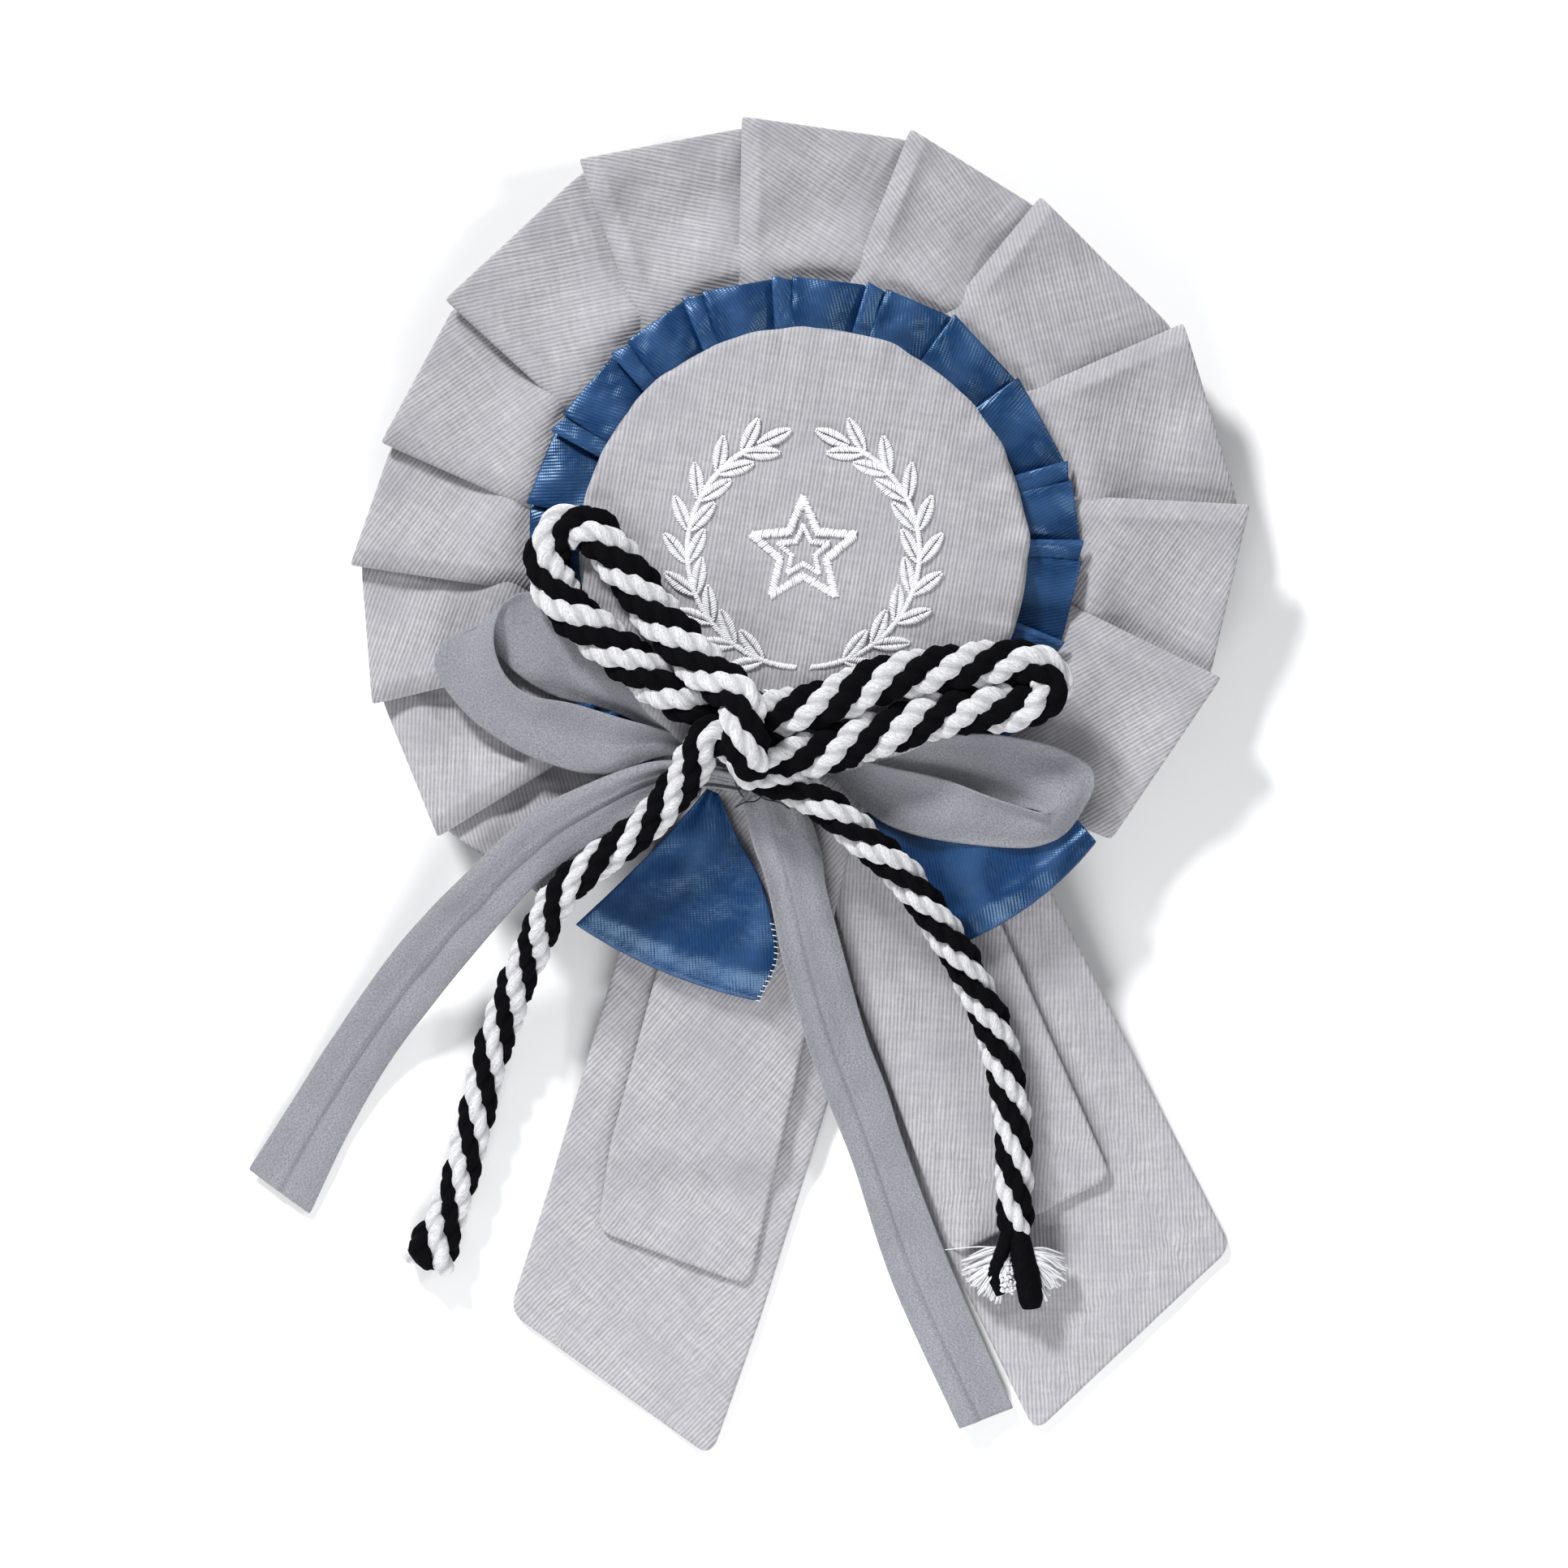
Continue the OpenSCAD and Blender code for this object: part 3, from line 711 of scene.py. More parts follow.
def rosette_relief(line, share, index):
    """The cloth puffs up between two folds next to the ring, is hollow beyond that and creases."""
    x, y = line[:, 0], line[:, 1]
    radius = np.hypot(x, y)
    between = math.sin(math.pi * share) ** 0.7
    puff = 1.4 * np.exp(-((radius - 38.4) / 3.0) ** 2) * between
    hollow = -0.8 * np.exp(-((radius - 46.5) / 4.5) ** 2) * between
    sunk = -1.1 * (1 - share) ** 2 * np.clip((radius - 37) / 6, 0, 1)
    ridge = 0.4 * share ** 14
    lift = 0.5 * np.clip((radius - 52) / 6, 0, 1) * share
    crumple = 0.34 * ripple(x, y, 11, 3 + index)
    crease = 0.16 * np.clip(ripple(x, y, 6, 31 + index), 0, 1) ** 2
    held_down = np.clip((37.2 - radius) / 2, 0, 1)
    return (puff + hollow + sunk + ridge + lift + crumple + crease) * (1 - held_down) + 0.1 * held_down


rosette_grid, rosette_weave = pleated(
    ROSETTE_FOLDS, r_in=25, r_knee=36.2, low=5.5, high=7.5, lap=5.0, roll=2.3, drop=0.95,
    step=1.3, rows=32, wale_turn=-120, relief=rosette_relief)
rosette = cloth("pleated_rosette", rosette_grid, TWILL_T, TWILL, rosette_weave)
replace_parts(rosette, "outer_rosette")

# Gaps between the pleats of the satin ring, in degrees: some have a second small tuck
RING_GAPS = [
    (-48, False), (-33, True), (-19, True), (2.4, True), (19.1, True), (39.1, False), (57.6, False),
    (76.6, True), (96.5, True), (115.6, True), (134.1, True), (154.3, True), (170.0, False), (188, True),
    (205, False), (221, True), (234, False),
]
RING_R = 36.2


def ring_folds():
    """Two folds at a gap with a tuck and one at a plain gap."""
    folds = []
    for k, (gap, tucked) in enumerate(RING_GAPS):
        out = RING_R + 0.35 * math.sin(2.3 * k)
        if tucked:
            folds.append((gap - 4.2, out - 0.3, gap - 3.6))
        folds.append((gap, out, gap + 0.8))
    return folds


def ring_relief(line, share, index):
    """The satin droops at its edge, puffs up between two folds and creases a little."""
    x, y = line[:, 0], line[:, 1]
    radius = np.hypot(x, y)
    droop = -0.8 * np.clip((radius - 31) / 5.2, 0, 1) ** 2
    sunk = -0.45 * (1 - share) ** 3
    puff = 0.35 * math.sin(math.pi * share)
    return droop + sunk + puff + 0.18 * ripple(x, y, 6, 50 + index) + 0.06 * ripple(x, y, 2.5, 80 + index)


ring_grid, ring_weave = pleated(
    ring_folds(), r_in=26, r_knee=29, low=8.1, high=9.5, lap=1.6, roll=0.7, drop=0.15,
    step=0.45, rows=16, wale_turn=20, relief=ring_relief)
ring = cloth("pleated_satin_ring", ring_grid, SATIN_T, SATIN, ring_weave)
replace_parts(ring, "satin_ring")

# ---- tails

# How high a tail lies at a y, as a share of the way from the table to the rosette
DROOP = [(-20, 1), (-36, 1), (-46, 0.8), (-56, 0.45), (-66, 0.15), (-74, 0.02), (-88, 0), (-125, 0)]
TAIL_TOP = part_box("tail_back_right")[1].z / MM - 0.8
TAIL_T = 0.8
LAYER = 0.85
PARTING_Y = -80
CORNER = 2.0
# Width of the turned edge, thicker than the rest, and how far its outer edge is rounded
HEM = 6.6
EDGE_ROUND = 0.55


def tail_height(y, above, below):
    """Height of a tail's underside: it comes down from the rosette to the table over the other tails."""
    ys = [d[0] for d in reversed(DROOP)]
    shares = [d[1] for d in reversed(DROOP)]
    share = np.interp(y, ys, shares)
    lift = above + (below - above) * ease((PARTING_Y + 3 - y) / 6)
    return TABLE / MM + (TAIL_TOP - TABLE / MM) * share + LAYER * lift


def make_tail(node, left, right, above, below, wale, seed):
    """A doubled and turned strip: straight sides, a slanting end, soft edges and round corners."""
    near_end = np.array([8.0, 5.0, 3.0, 2.0, 1.3, 0.8, 0.4, 0.15, 0.0])
    length = curve_length(left)
    shares = np.concatenate([np.linspace(0, 1 - 9 / length, 54), 1 - near_end / length])
    a = at_shares(left, shares)
    b = at_shares(right, shares)
    to_end = np.linalg.norm((a + b) / 2 - (a[-1] + b[-1]) / 2, axis=1)[:, None]
    width = np.linalg.norm(b - a, axis=1)[:, None]
    inset = CORNER - np.sqrt(np.clip(CORNER ** 2 - np.clip(CORNER - to_end, 0, CORNER) ** 2, 0, None))
    close = np.array([0, 0.15, 0.4, 0.8, 1.4, 2.2, 3.4, 4.8, 5.6, HEM])
    inner = np.linspace(0, 1, 9)[None, 1:-1]
    reach = width - 2 * inset
    between = HEM + (reach - 2 * HEM) * inner
    offset = np.hstack([close * np.ones_like(reach), between, reach - close[::-1]])
    flat = a[:, None, :] + ((b - a) / width)[:, None, :] * (inset + offset)[..., None]
    x, y = flat[..., 0], flat[..., 1]
    to_edge = np.minimum(np.minimum(offset, reach - offset), to_end)
    z = tail_height(y, above, below) + TAIL_T / 2 + 0.1
    z = z + 0.1 * ripple(x * 0.4, y, 11, seed) + 0.07 * ripple(x, y, 6, seed + 1)
    round_edge = np.sqrt(np.clip(1 - np.clip(1 - to_edge / EDGE_ROUND, 0, 1) ** 2, 0, 1))
    seam = 1 + 0.35 * ease((6.2 - to_edge) / 0.8) - 0.12 * ease((to_end - 6) / 3) * ease(to_edge / 8)
    thickness = (0.08 + 0.58 * round_edge * seam)[..., None]
    grid = np.stack([x, y, z], axis=-1)
    tail = cloth(node + "_cloth", grid, thickness, TWILL, weave_turned(grid, wale))
    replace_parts(tail, node)
    return tail


# Left and right side, how many tails lie under it above the parting and below it, wale and seed
TAIL_SHAPES = {
    "tail_back_left": (
        [(-16, -26), (-24, -52), (-33.4, -83.5), (-38.3, -98.8)],
        [(16, -26), (3, -72.3), (-5.5, -99.4), (-12, -117.8)], 1, 0, 45, 11),
    "tail_back_right": (
        [(-8, -26), (12.9, -77), (16.8, -86.9), (30.2, -114.6)],
        [(23, -26), (31.9, -43.4), (55.8, -90.4)], 0, 0, 92, 21),
    "tail_front_left": (
        [(-12, -26), (-19, -54.2), (-25.1, -76.8), (-26.9, -88.2)],
        [(9, -26), (0.1, -63.7), (-7, -95.4)], 3, 1, 50, 31),
    "tail_front_right": (
        [(-3, -26), (2, -38.5), (6.9, -57.1), (19.6, -91.6)],
        [(16.5, -26), (25.9, -48.7), (40.2, -81.2)], 2, 1, 87, 41),
}
TAILS = {node: make_tail(node, *shape) for node, shape in TAIL_SHAPES.items()}

# ---- satin flaps


def make_flap(node, left, right, seed, heights, wale):
    """Ribbon folded back on itself: it fans out from the knot and rolls under at its curved lower edge."""
    rows, columns = 30, 30
    a = through(left, rows)[:, None, :]
    b = through(right, rows)[:, None, :]
    t = np.linspace(0, 1, columns)[None, :, None]
    down = np.linspace(0, 1, rows)[:, None]
    flat = a + (b - a) * t
    below = unit(flat[-1] - flat[-4])[None, :, :]
    flat = flat + below * 1.3 * (4 * t * (1 - t)) * down[..., None] ** 2
    x, y = flat[..., 0], flat[..., 1]
    z = np.interp(y, [h[0] for h in heights], [h[1] for h in heights])
    fan = np.sin(2 * math.pi * 1.6 * t[..., 0] + seed) * 0.3 * (1 - down) ** 1.2
    z = z + fan + 0.14 * ripple(x, y, 13, seed) + 0.1 * ripple(x, y, 5, seed + 1)
    z = z + 0.5 * np.exp(-((down - 0.9) / 0.06) ** 2)
    grid = np.stack([x, y, z], axis=-1)
    outward = unit((grid[-1] - grid[-3]) * [1, 1, 0])
    down_step = np.array([0, 0, 0.5])
    roll = [grid[-1] + outward * 0.8 * math.sin(s) - down_step * (1 - math.cos(s))
            for s in np.linspace(0.15, 1, 9) * math.pi]
    under = [roll[-1] - outward * s for s in (1.5, 3.0, 5.0)]
    full = np.array(list(grid) + roll + under)
    plane = np.array(list(grid) + [grid[-1] + outward * s for s in np.linspace(0.3, 7, len(roll) + 3)])
    flap = cloth(node + "_cloth", full, SATIN_T, SATIN, weave_turned(plane, wale))
    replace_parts(flap, node)
    return flap, full


# Heights are (y, height)
left_flap, left_flap_grid = make_flap(
    "satin_flap_left", [(-12.4, -30.6), (-18, -37), (-24, -43), (-28.9, -47.6)],
    [(-11, -31.2), (-8.7, -36.5), (-5.7, -42), (-3.9, -48), (-3.4, -52.8), (-5.4, -57.4)], seed=4,
    heights=[(-60, 5.2), (-50, 7.2), (-42, 8.6), (-36, 9.3), (-31, 9.8)], wale=93)
right_flap = make_flap(
    "satin_flap_right", [(6, -34), (12, -39.4), (17.4, -45.4), (20.9, -49.6)],
    [(32, -30), (34.2, -33), (37.4, -36.8)], seed=9,
    heights=[(-60, 5.6), (-50, 7.1), (-44, 8.3), (-36, 9.1)], wale=100)[0]


PICOT_STITCHES = 15


def make_picot():
    """Small white stitches along the cut end of the left flap."""
    edge = evenly(left_flap_grid[19:34, -1], PICOT_STITCHES)
    inner = evenly(left_flap_grid[19:34, -3], PICOT_STITCHES)
    stitches = Bundle()
    for a, b in zip(edge, inner):
        inward = unit(b - a)
        over = [a - inward * 0.15 - [0, 0, 0.2], a - inward * 0.05 + [0, 0, 0.25],
                a + inward * 0.45 + [0, 0, 0.18]]
        stitches.add_thread(through(over, 7), np.full(7, 0.065), 7, np.linspace(0, 1, 7))
    return stitches.made("flap_picot", WHITE_THREAD, "white_thread")


flap_picot = make_picot()

# ---- chiffon bow


def ribbon(stations, along, across, seam, seed, folded, gathers):
    """A ribbon with a fold along it, its folded layer on one side, gathered where it leaves the knot.
    Each station holds a point of both edges."""
    both = through([[*a, *b] for a, b in stations], along)
    a, b = both[:, :3], both[:, 3:]
    t = np.linspace(0, 1, across)[None, :]
    s = np.linspace(0, 1, along)[:, None]
    grid = a[:, None, :] + (b - a)[:, None, :] * t[..., None]
    x, y = grid[..., 0], grid[..., 1]
    soft = 0.3 * np.sqrt(np.sin(math.pi * np.clip(t, 0.02, 0.98)))
    layer = folded * ease((seam - t) / 0.07 + 0.5)
    pulled = gathers * np.sin(2 * math.pi * 2.2 * t + seed) * np.exp(-s / 0.22)
    long_fold = 0.22 * np.sin(2 * math.pi * t * 1.3 + 2.5 * s + seed) * (1 - s * 0.4)
    uneven = 0.22 * ripple(x, y, 10, seed)
    return grid + normals_of(grid) * (soft + layer + pulled + long_fold + uneven)[..., None]


def strip_uv(grid):
    """Cloth coordinates that follow the strip."""
    along = np.linalg.norm(np.diff(grid[:, grid.shape[1] // 2], axis=0), axis=1)
    run = np.concatenate([[0], np.cumsum(along)])
    across = np.linalg.norm(grid[:, -1] - grid[:, 0], axis=1)
    t = np.linspace(0, 1, grid.shape[1])
    return np.stack([np.broadcast_to(run[:, None], grid.shape[:2]), across[:, None] * t[None, :]], axis=-1)


# Stations along the bow: a point on the ribbon's upper edge and one on its other edge
LOOP_LEFT = [
    ((-9, -25, 10.6), (-9, -28, 10.4)), ((-17, -19.5, 11), (-17.5, -24, 10)),
    ((-24, -12.6, 11.3), (-25, -20.6, 9.6)), ((-30.5, -7.2, 11.5), (-32, -18.8, 9.4)),
    ((-35.2, -5.2, 11.6), (-37, -15.8, 9.4)), ((-38.2, -6.2, 11.8), (-42.6, -10.6, 9.5)),
    ((-39.6, -8.8, 12), (-46.2, -11.4, 9.4)), ((-39.8, -12.4, 12), (-47.8, -14.8, 9.2)),
    ((-38.4, -16.2, 11.9), (-44.8, -19.6, 9.1)), ((-35.4, -18.6, 11.7), (-40, -23.8, 9.1)),
    ((-30.4, -19.4, 11.6), (-33.6, -27.2, 9.2)), ((-24.2, -21.2, 11.4), (-25.8, -28.8, 9.4)),
    ((-17.3, -23.2, 11.2), (-17.3, -26.4, 10)), ((-10, -25.5, 11), (-10, -28, 10.6)),
]
LOOP_RIGHT = [
    ((-3, -28.6, 10.6), (-3, -30, 10.7)), ((3.2, -27, 11), (3.2, -28.8, 10.4)),
    ((11.7, -25, 11.5), (11.9, -29.4, 9.2)), ((21, -23.6, 11.7), (20, -31.2, 8.8)),
    ((28.6, -24.2, 11.4), (26.4, -32.8, 9.2)), ((34.2, -25.8, 10.7), (29.6, -33.3, 10.6)),
    ((37.4, -28, 10.2), (30.8, -33.6, 11.4)), ((37.7, -30.6, 9.9), (31.2, -33.8, 11.8)),
    ((36.4, -33.4, 9.7), (31.2, -34, 12)), ((34.2, -36.2, 9.6), (30.6, -34, 12)),
    ((31.4, -37.8, 9.6), (29.2, -33.5, 11.9)), ((27.6, -38.4, 9.7), (26.4, -32.4, 11.8)),
    ((18.7, -37.6, 9.9), (18.7, -29.6, 11.7)), ((10.9, -35.4, 10.1), (11.4, -27.8, 11.7)),
    ((6.2, -31.8, 10.5), (6.4, -26.8, 11.6)), ((3.4, -29.2, 10.9), (3.4, -27.4, 11.5)),
    ((-3, -29.4, 10.9), (-3, -28.4, 11.2)),
]
TAIL_LEFT = [
    ((-8, -28.6, 10.8), (-8, -31, 10.8)), ((-14, -27.2, 11), (-13, -30.4, 10.8)),
    ((-20, -27.2, 10.8), (-18, -31.4, 10.6)), ((-28, -30, 10), (-24, -35.4, 10)),
    ((-35.4, -33.8, 9.3), (-30.5, -39.9, 9.3)), ((-42.3, -40.1, 8.5), (-35.4, -43.8, 8.3)),
    ((-48.5, -46.2, 5.8), (-41.5, -50.6, 5.4)), ((-54.1, -52.7, 2.4), (-47.6, -58, 2)),
    ((-61.5, -63.2, -0.2), (-53.7, -66, -0.4)), ((-67, -71.9, -1.3), (-59.3, -75.6, -1.4)),
    ((-72.3, -80.2, -1.5), (-64.3, -86.1, -1.5)),
]
TAIL_RIGHT = [
    ((-6.6, -30, 10.8), (-2, -30.2, 10.8)), ((-7.6, -32.6, 10.8), (0.6, -33.6, 10.6)),
    ((-6.4, -38, 10.3), (2.4, -39, 10.2)), ((-4.8, -42.4, 9.7), (3, -43.6, 9.6)),
    ((-2.7, -52.5, 7.7), (5.5, -53, 7.6)), ((0.8, -64.5, 4.4), (8.2, -62.6, 4.6)),
    ((3.3, -71.4, 2.9), (10.8, -69.4, 3)), ((6.5, -79.5, 1.9), (13.4, -77.6, 2)),
    ((11.7, -95.2, 0.3), (19.3, -93, 0.5)), ((20.3, -114, -0.4), (27.4, -111.3, -0.4)),
]


def make_chiffon():
    """The one ribbon of the bow, in its five stretches: two loops, two tails and the knot between them."""
    # Each has its points along and across, the place of its seam, seed, folded layer and gathers
    parts = [
        (ribbon(LOOP_LEFT, 130, 22, 0.55, 2, 0.06, 0.1), 0.34),
        (ribbon(LOOP_RIGHT, 130, 22, 0.5, 6, 0.05, 0.1), 0.34),
        (ribbon(TAIL_LEFT, 110, 30, 0.5, 12, 0.5, 0.3), 0.36),
        (ribbon(TAIL_RIGHT, 110, 30, 0.36, 15, 0.5, 0.45), 0.36),
    ]
    knot = ribbon_grid([(-9, -33.4, 10.2), (-7.6, -31.4, 11.6), (-8.2, -28.6, 10.4)],
                       [(1.4, -33.6, 10.2), (0.6, -31.2, 11.6), (1.6, -28.4, 10.4)], 12, 12, 0.5)
    parts.append((knot, 0.5))
    stretches = Bundle()
    for grid, thickness in parts:
        flat = strip_uv(grid).reshape(-1, 2)
        stretches.add(*cloth_solid(grid, thickness), np.vstack([flat, flat]))
    bow = stretches.made("chiffon_ribbon_bow", CHIFFON, "chiffon", levels=1)
    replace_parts(bow, "chiffon_bow")
    return bow


chiffon_bow = make_chiffon()

# ---- button

BUTTON_R = 29.0
BUTTON_RISE = 1.5
BUTTON_CROWN = 13.2
BUTTON_FOOT = 9.62
RIM_ROUND = 1.1


def dome_height(radius):
    return BUTTON_CROWN - BUTTON_RISE * (radius / BUTTON_R) ** 2


def turned(name, rings, material, coordinates=None):
    """A closed piece from rings round an upright axis. The first and the last ring are its ends."""
    rows, sides = rings.shape[:2]
    faces = [tuple(reversed(face)) for face in capped_rings(rows, sides)]
    return piece(name, to_row(rings.reshape(-1, 3)), faces, material, coordinates)


def make_button():
    """Twill drawn tight over the padded disc: it pulls into short creases at the rim."""
    sides = 240
    angle = np.linspace(0, 2 * math.pi, sides, endpoint=False)
    wavy = 0.006 * np.sin(11 * angle + 1) + 0.005 * np.sin(17 * angle) + 0.003 * np.sin(29 * angle)
    pulls = np.sin(23 * angle + 2 * np.sin(3 * angle)) + 0.7 * np.sin(41 * angle + 3 * np.sin(2 * angle))
    east = 0.5 + 0.5 * np.cos(angle - 0.1)
    rim_share = RIM_ROUND / BUTTON_R
    spans = ((0.002, 0.38, 26), (0.4, 0.9, 34), (0.915, 1 - rim_share, 6))
    rows = [(s, 0.0) for span in spans for s in np.linspace(*span)]
    rows += [(1 - rim_share * (1 - math.sin(t)), RIM_ROUND * (1 - math.cos(t)))
             for t in np.linspace(0.25, math.pi / 2, 6)]
    rings = []
    for share, fall in rows:
        radius = BUTTON_R * (1 + wavy) * share
        x, y = radius * np.cos(angle), radius * np.sin(angle)
        near_rim = math.exp(-((1 - share) / 0.13) ** 2)
        z = dome_height(np.minimum(radius, BUTTON_R - RIM_ROUND)) - fall
        z = z + 0.2 * near_rim * pulls * (0.4 + east) + 0.12 * ripple(x, y, 9, 71)
        rings.append(np.stack([x, y, z], axis=-1))
    for inset, rise in ((0, 0.5), (0.5, 0.05), (3, 0), (7, 0)):
        x, y = (BUTTON_R - inset) * np.cos(angle), (BUTTON_R - inset) * np.sin(angle)
        rings.append(np.stack([x, y, np.full(sides, BUTTON_FOOT + rise)], axis=-1))
    rings = np.array(rings)
    cover = turned("button_twill", rings, TWILL, weave_turned(rings, 80).reshape(-1, 2))
    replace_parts(cover, "button_cover")


make_button()

# ---- embroidery

WREATH_R = 15.0
LEAF_L = 5.0
LEAF_W = 1.9
STAR_R = 7.0
SMALL_STAR_R = 3.4


class Stitches(Bundle):
    """Short raised threads laid on the button."""

    def __init__(self, seed):
        super().__init__()
        self.rng = np.random.default_rng(seed)

    def stitch(self, a, b, radius=0.15, lift=0.22):
        a, b = np.asarray(a, float), np.asarray(b, float)
        t = np.linspace(0, 1, 7)[:, None]
        flat = a + (b - a) * t + self.rng.normal(0, 0.015, 2)
        arch = lift * np.sqrt(np.sin(math.pi * t[:, 0])) - 0.02
        route = np.column_stack([flat, dome_height(np.hypot(flat[:, 0], flat[:, 1])) + arch])
        radii = radius * np.array([0.5, 0.95, 1, 1, 1, 0.95, 0.5]) * self.rng.uniform(0.85, 1.15)
        self.add_thread(route, radii, 7, t[:, 0] * 3 + self.rng.uniform(0, 50))

    def satin_line(self, points, width, gap=0.27, slant=70):
        """Close slanting stitches across a line."""
        line = evenly(points, max(2, int(curve_length(points) / gap)))
        heading = unit(np.gradient(line, axis=0))
        for p, d in zip(line, heading):
            turn = math.radians(slant + self.rng.normal(0, 4))
            c, s = math.cos(turn), math.sin(turn)
            across = np.array([d[0] * c - d[1] * s, d[0] * s + d[1] * c])
            half = width / 2 * self.rng.uniform(0.85, 1.1)
            self.stitch(p - across * half, p + across * half)

    def running_line(self, points, length=1.1, gap=0.6):
        """Stitches one after another along a line."""
        line = evenly(points, 2 * max(2, int(curve_length(points) / (length + gap))))
        for a, b in zip(line[::2], line[1::2]):
            self.stitch(a, b, 0.14, 0.16)

    def leaf(self, root, heading):
        """A laurel leaf: slanting stitches on both sides of its vein."""
        direction = polar(1, heading)
        side = polar(1, heading + 90)
        for s in np.arange(0.06, 0.98, 0.3 / LEAF_L):
            half = LEAF_W / 2 * math.sin(math.pi * s ** 0.85) ** 0.7
            vein = root + direction * LEAF_L * s
            for sign in (-1, 1):
                tip = vein + side * sign * half + direction * 0.45 * half
                self.stitch(vein + side * sign * 0.08, tip, 0.14, 0.26)

    def star(self, outer, inner, width):
        """The outline of a five-pointed star."""
        corners = [polar(inner if k % 2 else outer, 90 + 36 * k) for k in range(11)]
        for a, b in zip(corners, corners[1:]):
            self.satin_line([a, b], width)


def make_embroidery():
    """A laurel wreath round an outlined star."""
    work = Stitches(8)
    for mirror in (1, -1):
        stem = [polar(WREATH_R, a) * [mirror, 1] for a in range(-86, 66, 4)]
        work.satin_line(stem, 0.75)
        leaves = [(a, a + turn) for a in range(-70, 59, 16) for turn in (90 - 32, 90 + 32)]
        for a, heading in leaves + [(66, 156)]:
            work.leaf(polar(WREATH_R, a) * [mirror, 1], heading if mirror > 0 else 180 - heading)
    work.star(STAR_R, STAR_R * 0.45, 1.15)
    work.star(SMALL_STAR_R, 1.6, 0.7)
    work.running_line([polar(18.6, a) for a in range(-112, -66, 3)])
    work.running_line([polar(19.6, a) for a in range(-104, -74, 3)], 0.8, 0.5)
    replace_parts(work.made("embroidered_wreath", WHITE_THREAD, "white_thread"), "button_embroidery")


make_embroidery()

# ---- back and brooch


def make_felt():
    """A cut round of felt with a soft edge."""
    low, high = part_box("back_felt")
    radius = (high.x - low.x) / 2 / MM
    bottom, top = low.z / MM, high.z / MM
    sides = 180
    angle = np.linspace(0, 2 * math.pi, sides, endpoint=False)
    outline = radius * (1 + 0.003 * np.sin(13 * angle) + 0.002 * np.sin(31 * angle + 2))
    profile = [(0.003, bottom)] + [(s, bottom) for s in np.linspace(0.05, 0.97, 22)]
    profile += [(0.99, bottom + 0.1), (1.0, bottom + 0.3), (1.0, top - 0.2), (0.99, top - 0.03)]
    profile += [(0.9, top), (0.003, top)]
    rings = []
    for share, z in profile:
        x, y = outline * share * np.cos(angle), outline * share * np.sin(angle)
        uneven = 0.05 * ripple(x, y, 8, 90) if z == bottom else 0.0
        rings.append(np.stack([x, y, np.full(sides, z) + uneven], axis=-1))
    back = turned("felt_back", np.array(rings), FELT)
    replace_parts(back, "back_felt")
    return back, radius * MM


felt_back, felt_radius = make_felt()


def dress(nodes, material):
    """A CAD node keeps its shape and gets a detailed material."""
    for node in nodes:
        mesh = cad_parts[node].data
        mesh.materials.clear()
        mesh.materials.append(material)


dress(["brooch_bar", "brooch_catch", "hinge_rivet", "brooch_needle", "catch_roller"], STEEL)
dress(["backing_card", "button_core"], CARD)
dress(["button_padding"], WADDING)


def sewing_thread(routes, name, radius, material, slot, node):
    """Round strands of thread that stand for a node."""
    strands = Bundle()
    for route in routes:
        line = through(route, 40)
        strands.add_thread(line, np.full(40, radius), 8, np.linspace(0, curve_length(line), 40))
    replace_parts(strands.made(name, material, slot), node)


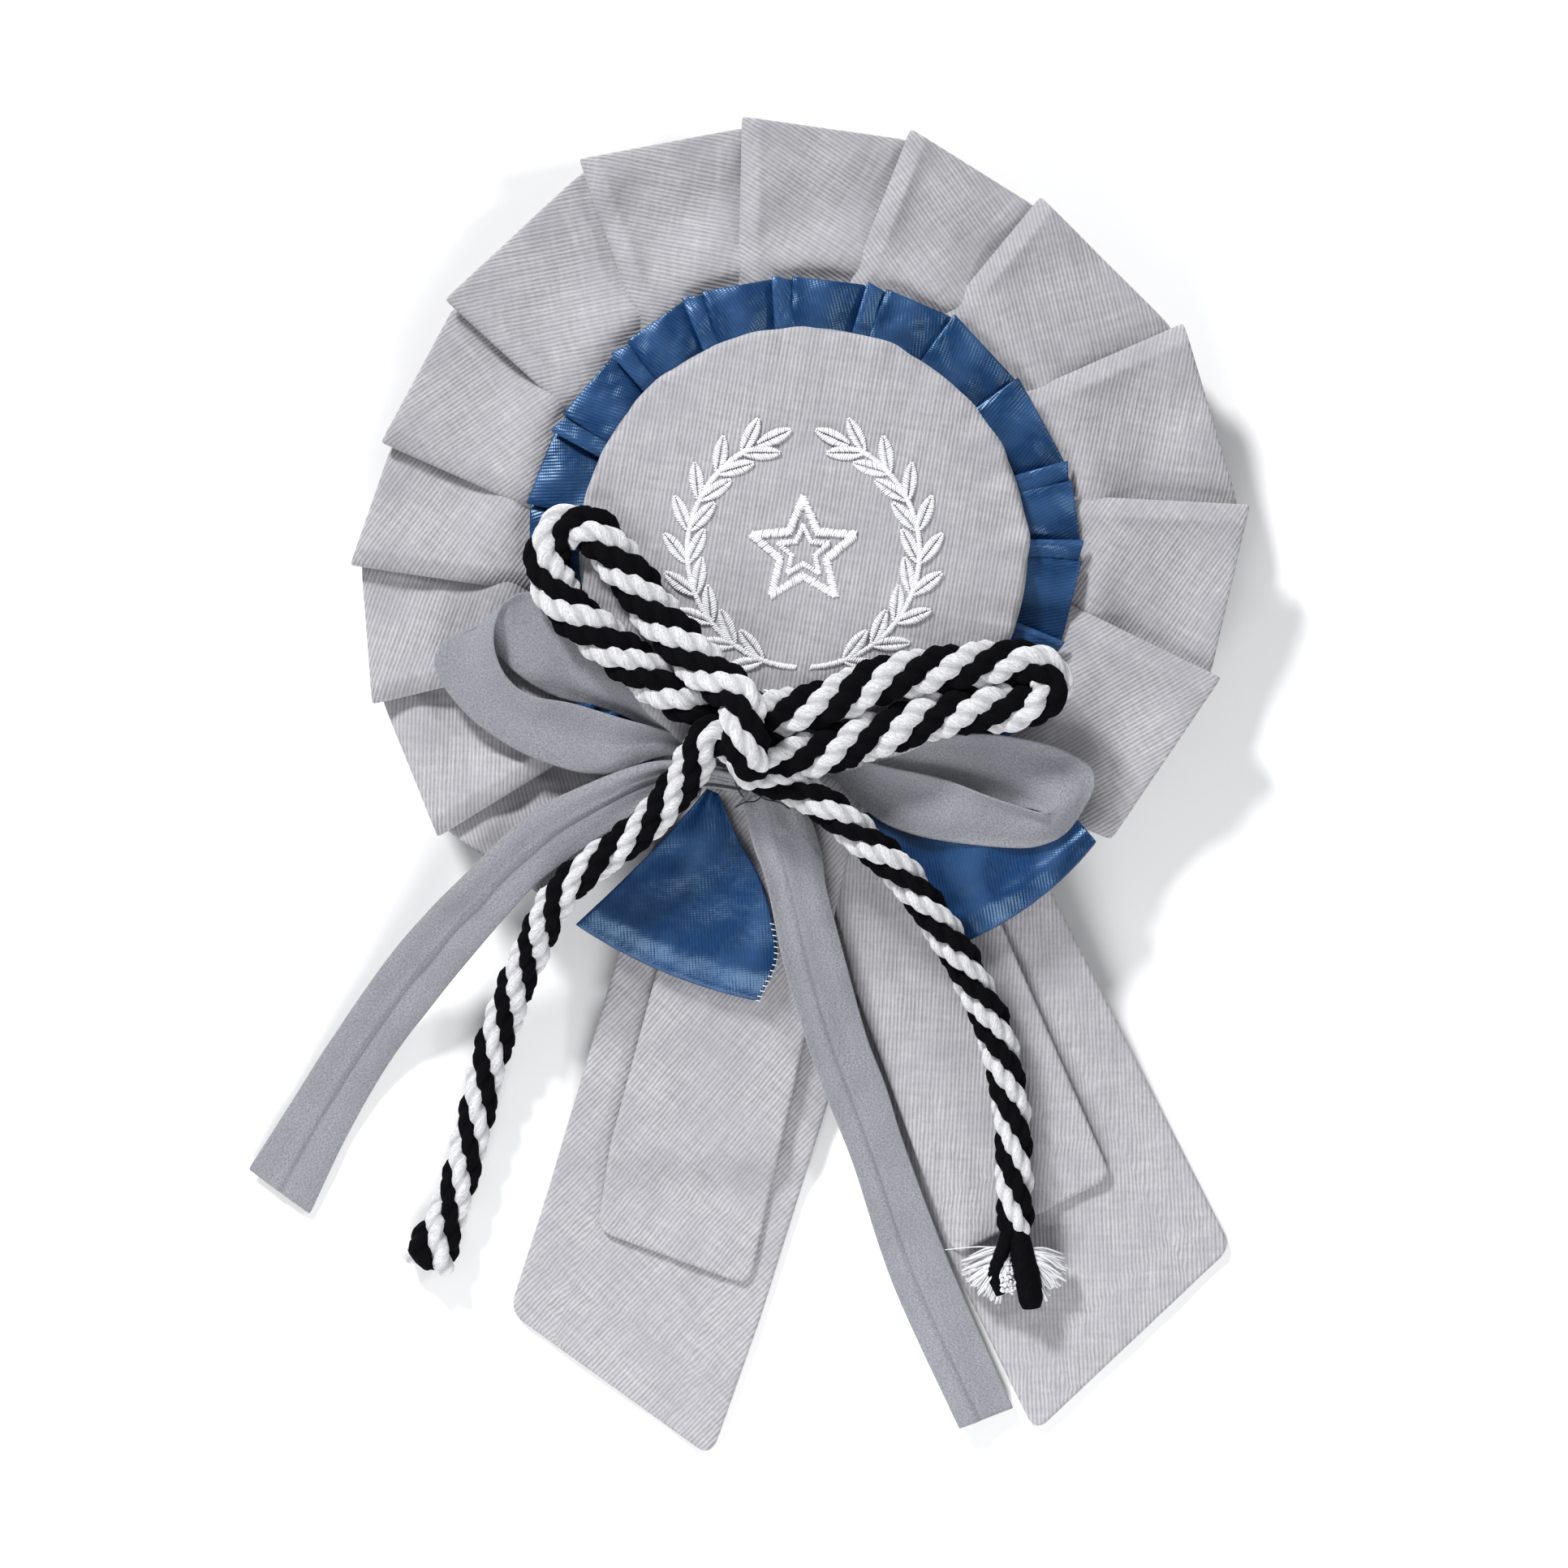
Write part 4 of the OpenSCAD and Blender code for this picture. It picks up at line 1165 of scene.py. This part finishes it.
def make_threads():
    """Stitches over the brooch's bar, and the dark thread round the bow's knot."""
    low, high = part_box("brooch_bar")
    shift = -CENTRE[1] / MM
    half = (high.y - low.y) / 2 / MM + 0.25
    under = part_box("brooch_thread")[0].z / MM + 0.2
    felt_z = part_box("back_felt")[0].z / MM
    over_bar = [[
        (x + 0.15, shift - half, felt_z + 0.1), (x + 0.1, shift - half, under + 0.3),
        (x, shift - half + 0.5, under), (x, shift, under - 0.03), (x, shift + half - 0.5, under),
        (x - 0.1, shift + half, under + 0.3), (x - 0.15, shift + half, felt_z + 0.1),
    ] for x in (-9, -8, -7, 7, 8, 9)]
    sewing_thread(over_bar, "brooch_stitches", 0.2, WHITE_THREAD, "white_thread", "brooch_thread")
    round_knot = [
        [(-8.4, -27.2, 12.4), (-8.8, -29.6, 12.3), (-8, -31.4, 11.6), (-6.8, -32.2, 11)],
        [(-5.2, -31.4, 11.6), (-6.2, -32.2, 12), (-7.6, -32.4, 11.8), (-8.8, -33, 11.3)],
        [(-6.4, -31, 12.2), (-4.8, -32, 12), (-3, -32.4, 11.8), (-1.8, -33.2, 11.3)],
    ]
    sewing_thread(round_knot, "knot_thread", 0.1, DARK_THREAD, "dark_thread", "bow_thread")


make_threads()

# ---- floor and light


def make_floor():
    """A wide pale table just under the badge."""
    bpy.ops.mesh.primitive_plane_add(size=3.0, location=(0, 0, TABLE - 0.0002))
    floor = bpy.context.object
    floor.name = "floor"
    look = Look("pale_floor", 0.9)
    cloud = look.noise(look.place(), 0.01, 3.0)
    look.colour(look.mix(cloud, srgb(244, 244, 244), srgb(250, 250, 250)))
    floor.data.materials.append(look.material)


def area_light(name, position, size, power):
    """A round lamp that points at the badge."""
    data = bpy.data.lights.new(name, "AREA")
    data.shape = "DISK"
    data.size = size
    data.energy = power
    light = bpy.data.objects.new(name, data)
    bpy.context.scene.collection.objects.link(light)
    light.location = position
    direction = Vector((0.0, -0.04, 0.0)) - Vector(position)
    light.rotation_euler = direction.to_track_quat("-Z", "Y").to_euler()


def make_light():
    area_light("key", (-0.9, 1.5, 1.1), 0.35, 52)
    area_light("low_fill", (-0.04, -0.36, 0.22), 0.25, 1.15)
    area_light("satin_glint", (1.3, 0.25, 1.15), 0.25, 6)
    world = bpy.data.worlds.new("studio")
    world.use_nodes = True
    sky = world.node_tree.nodes["Background"]
    sky.inputs["Color"].default_value = (0.95, 0.97, 1.0, 1.0)
    sky.inputs["Strength"].default_value = 0.3
    bpy.context.scene.world = world
    bpy.context.scene.view_settings.view_transform = "Standard"


make_floor()
make_light()
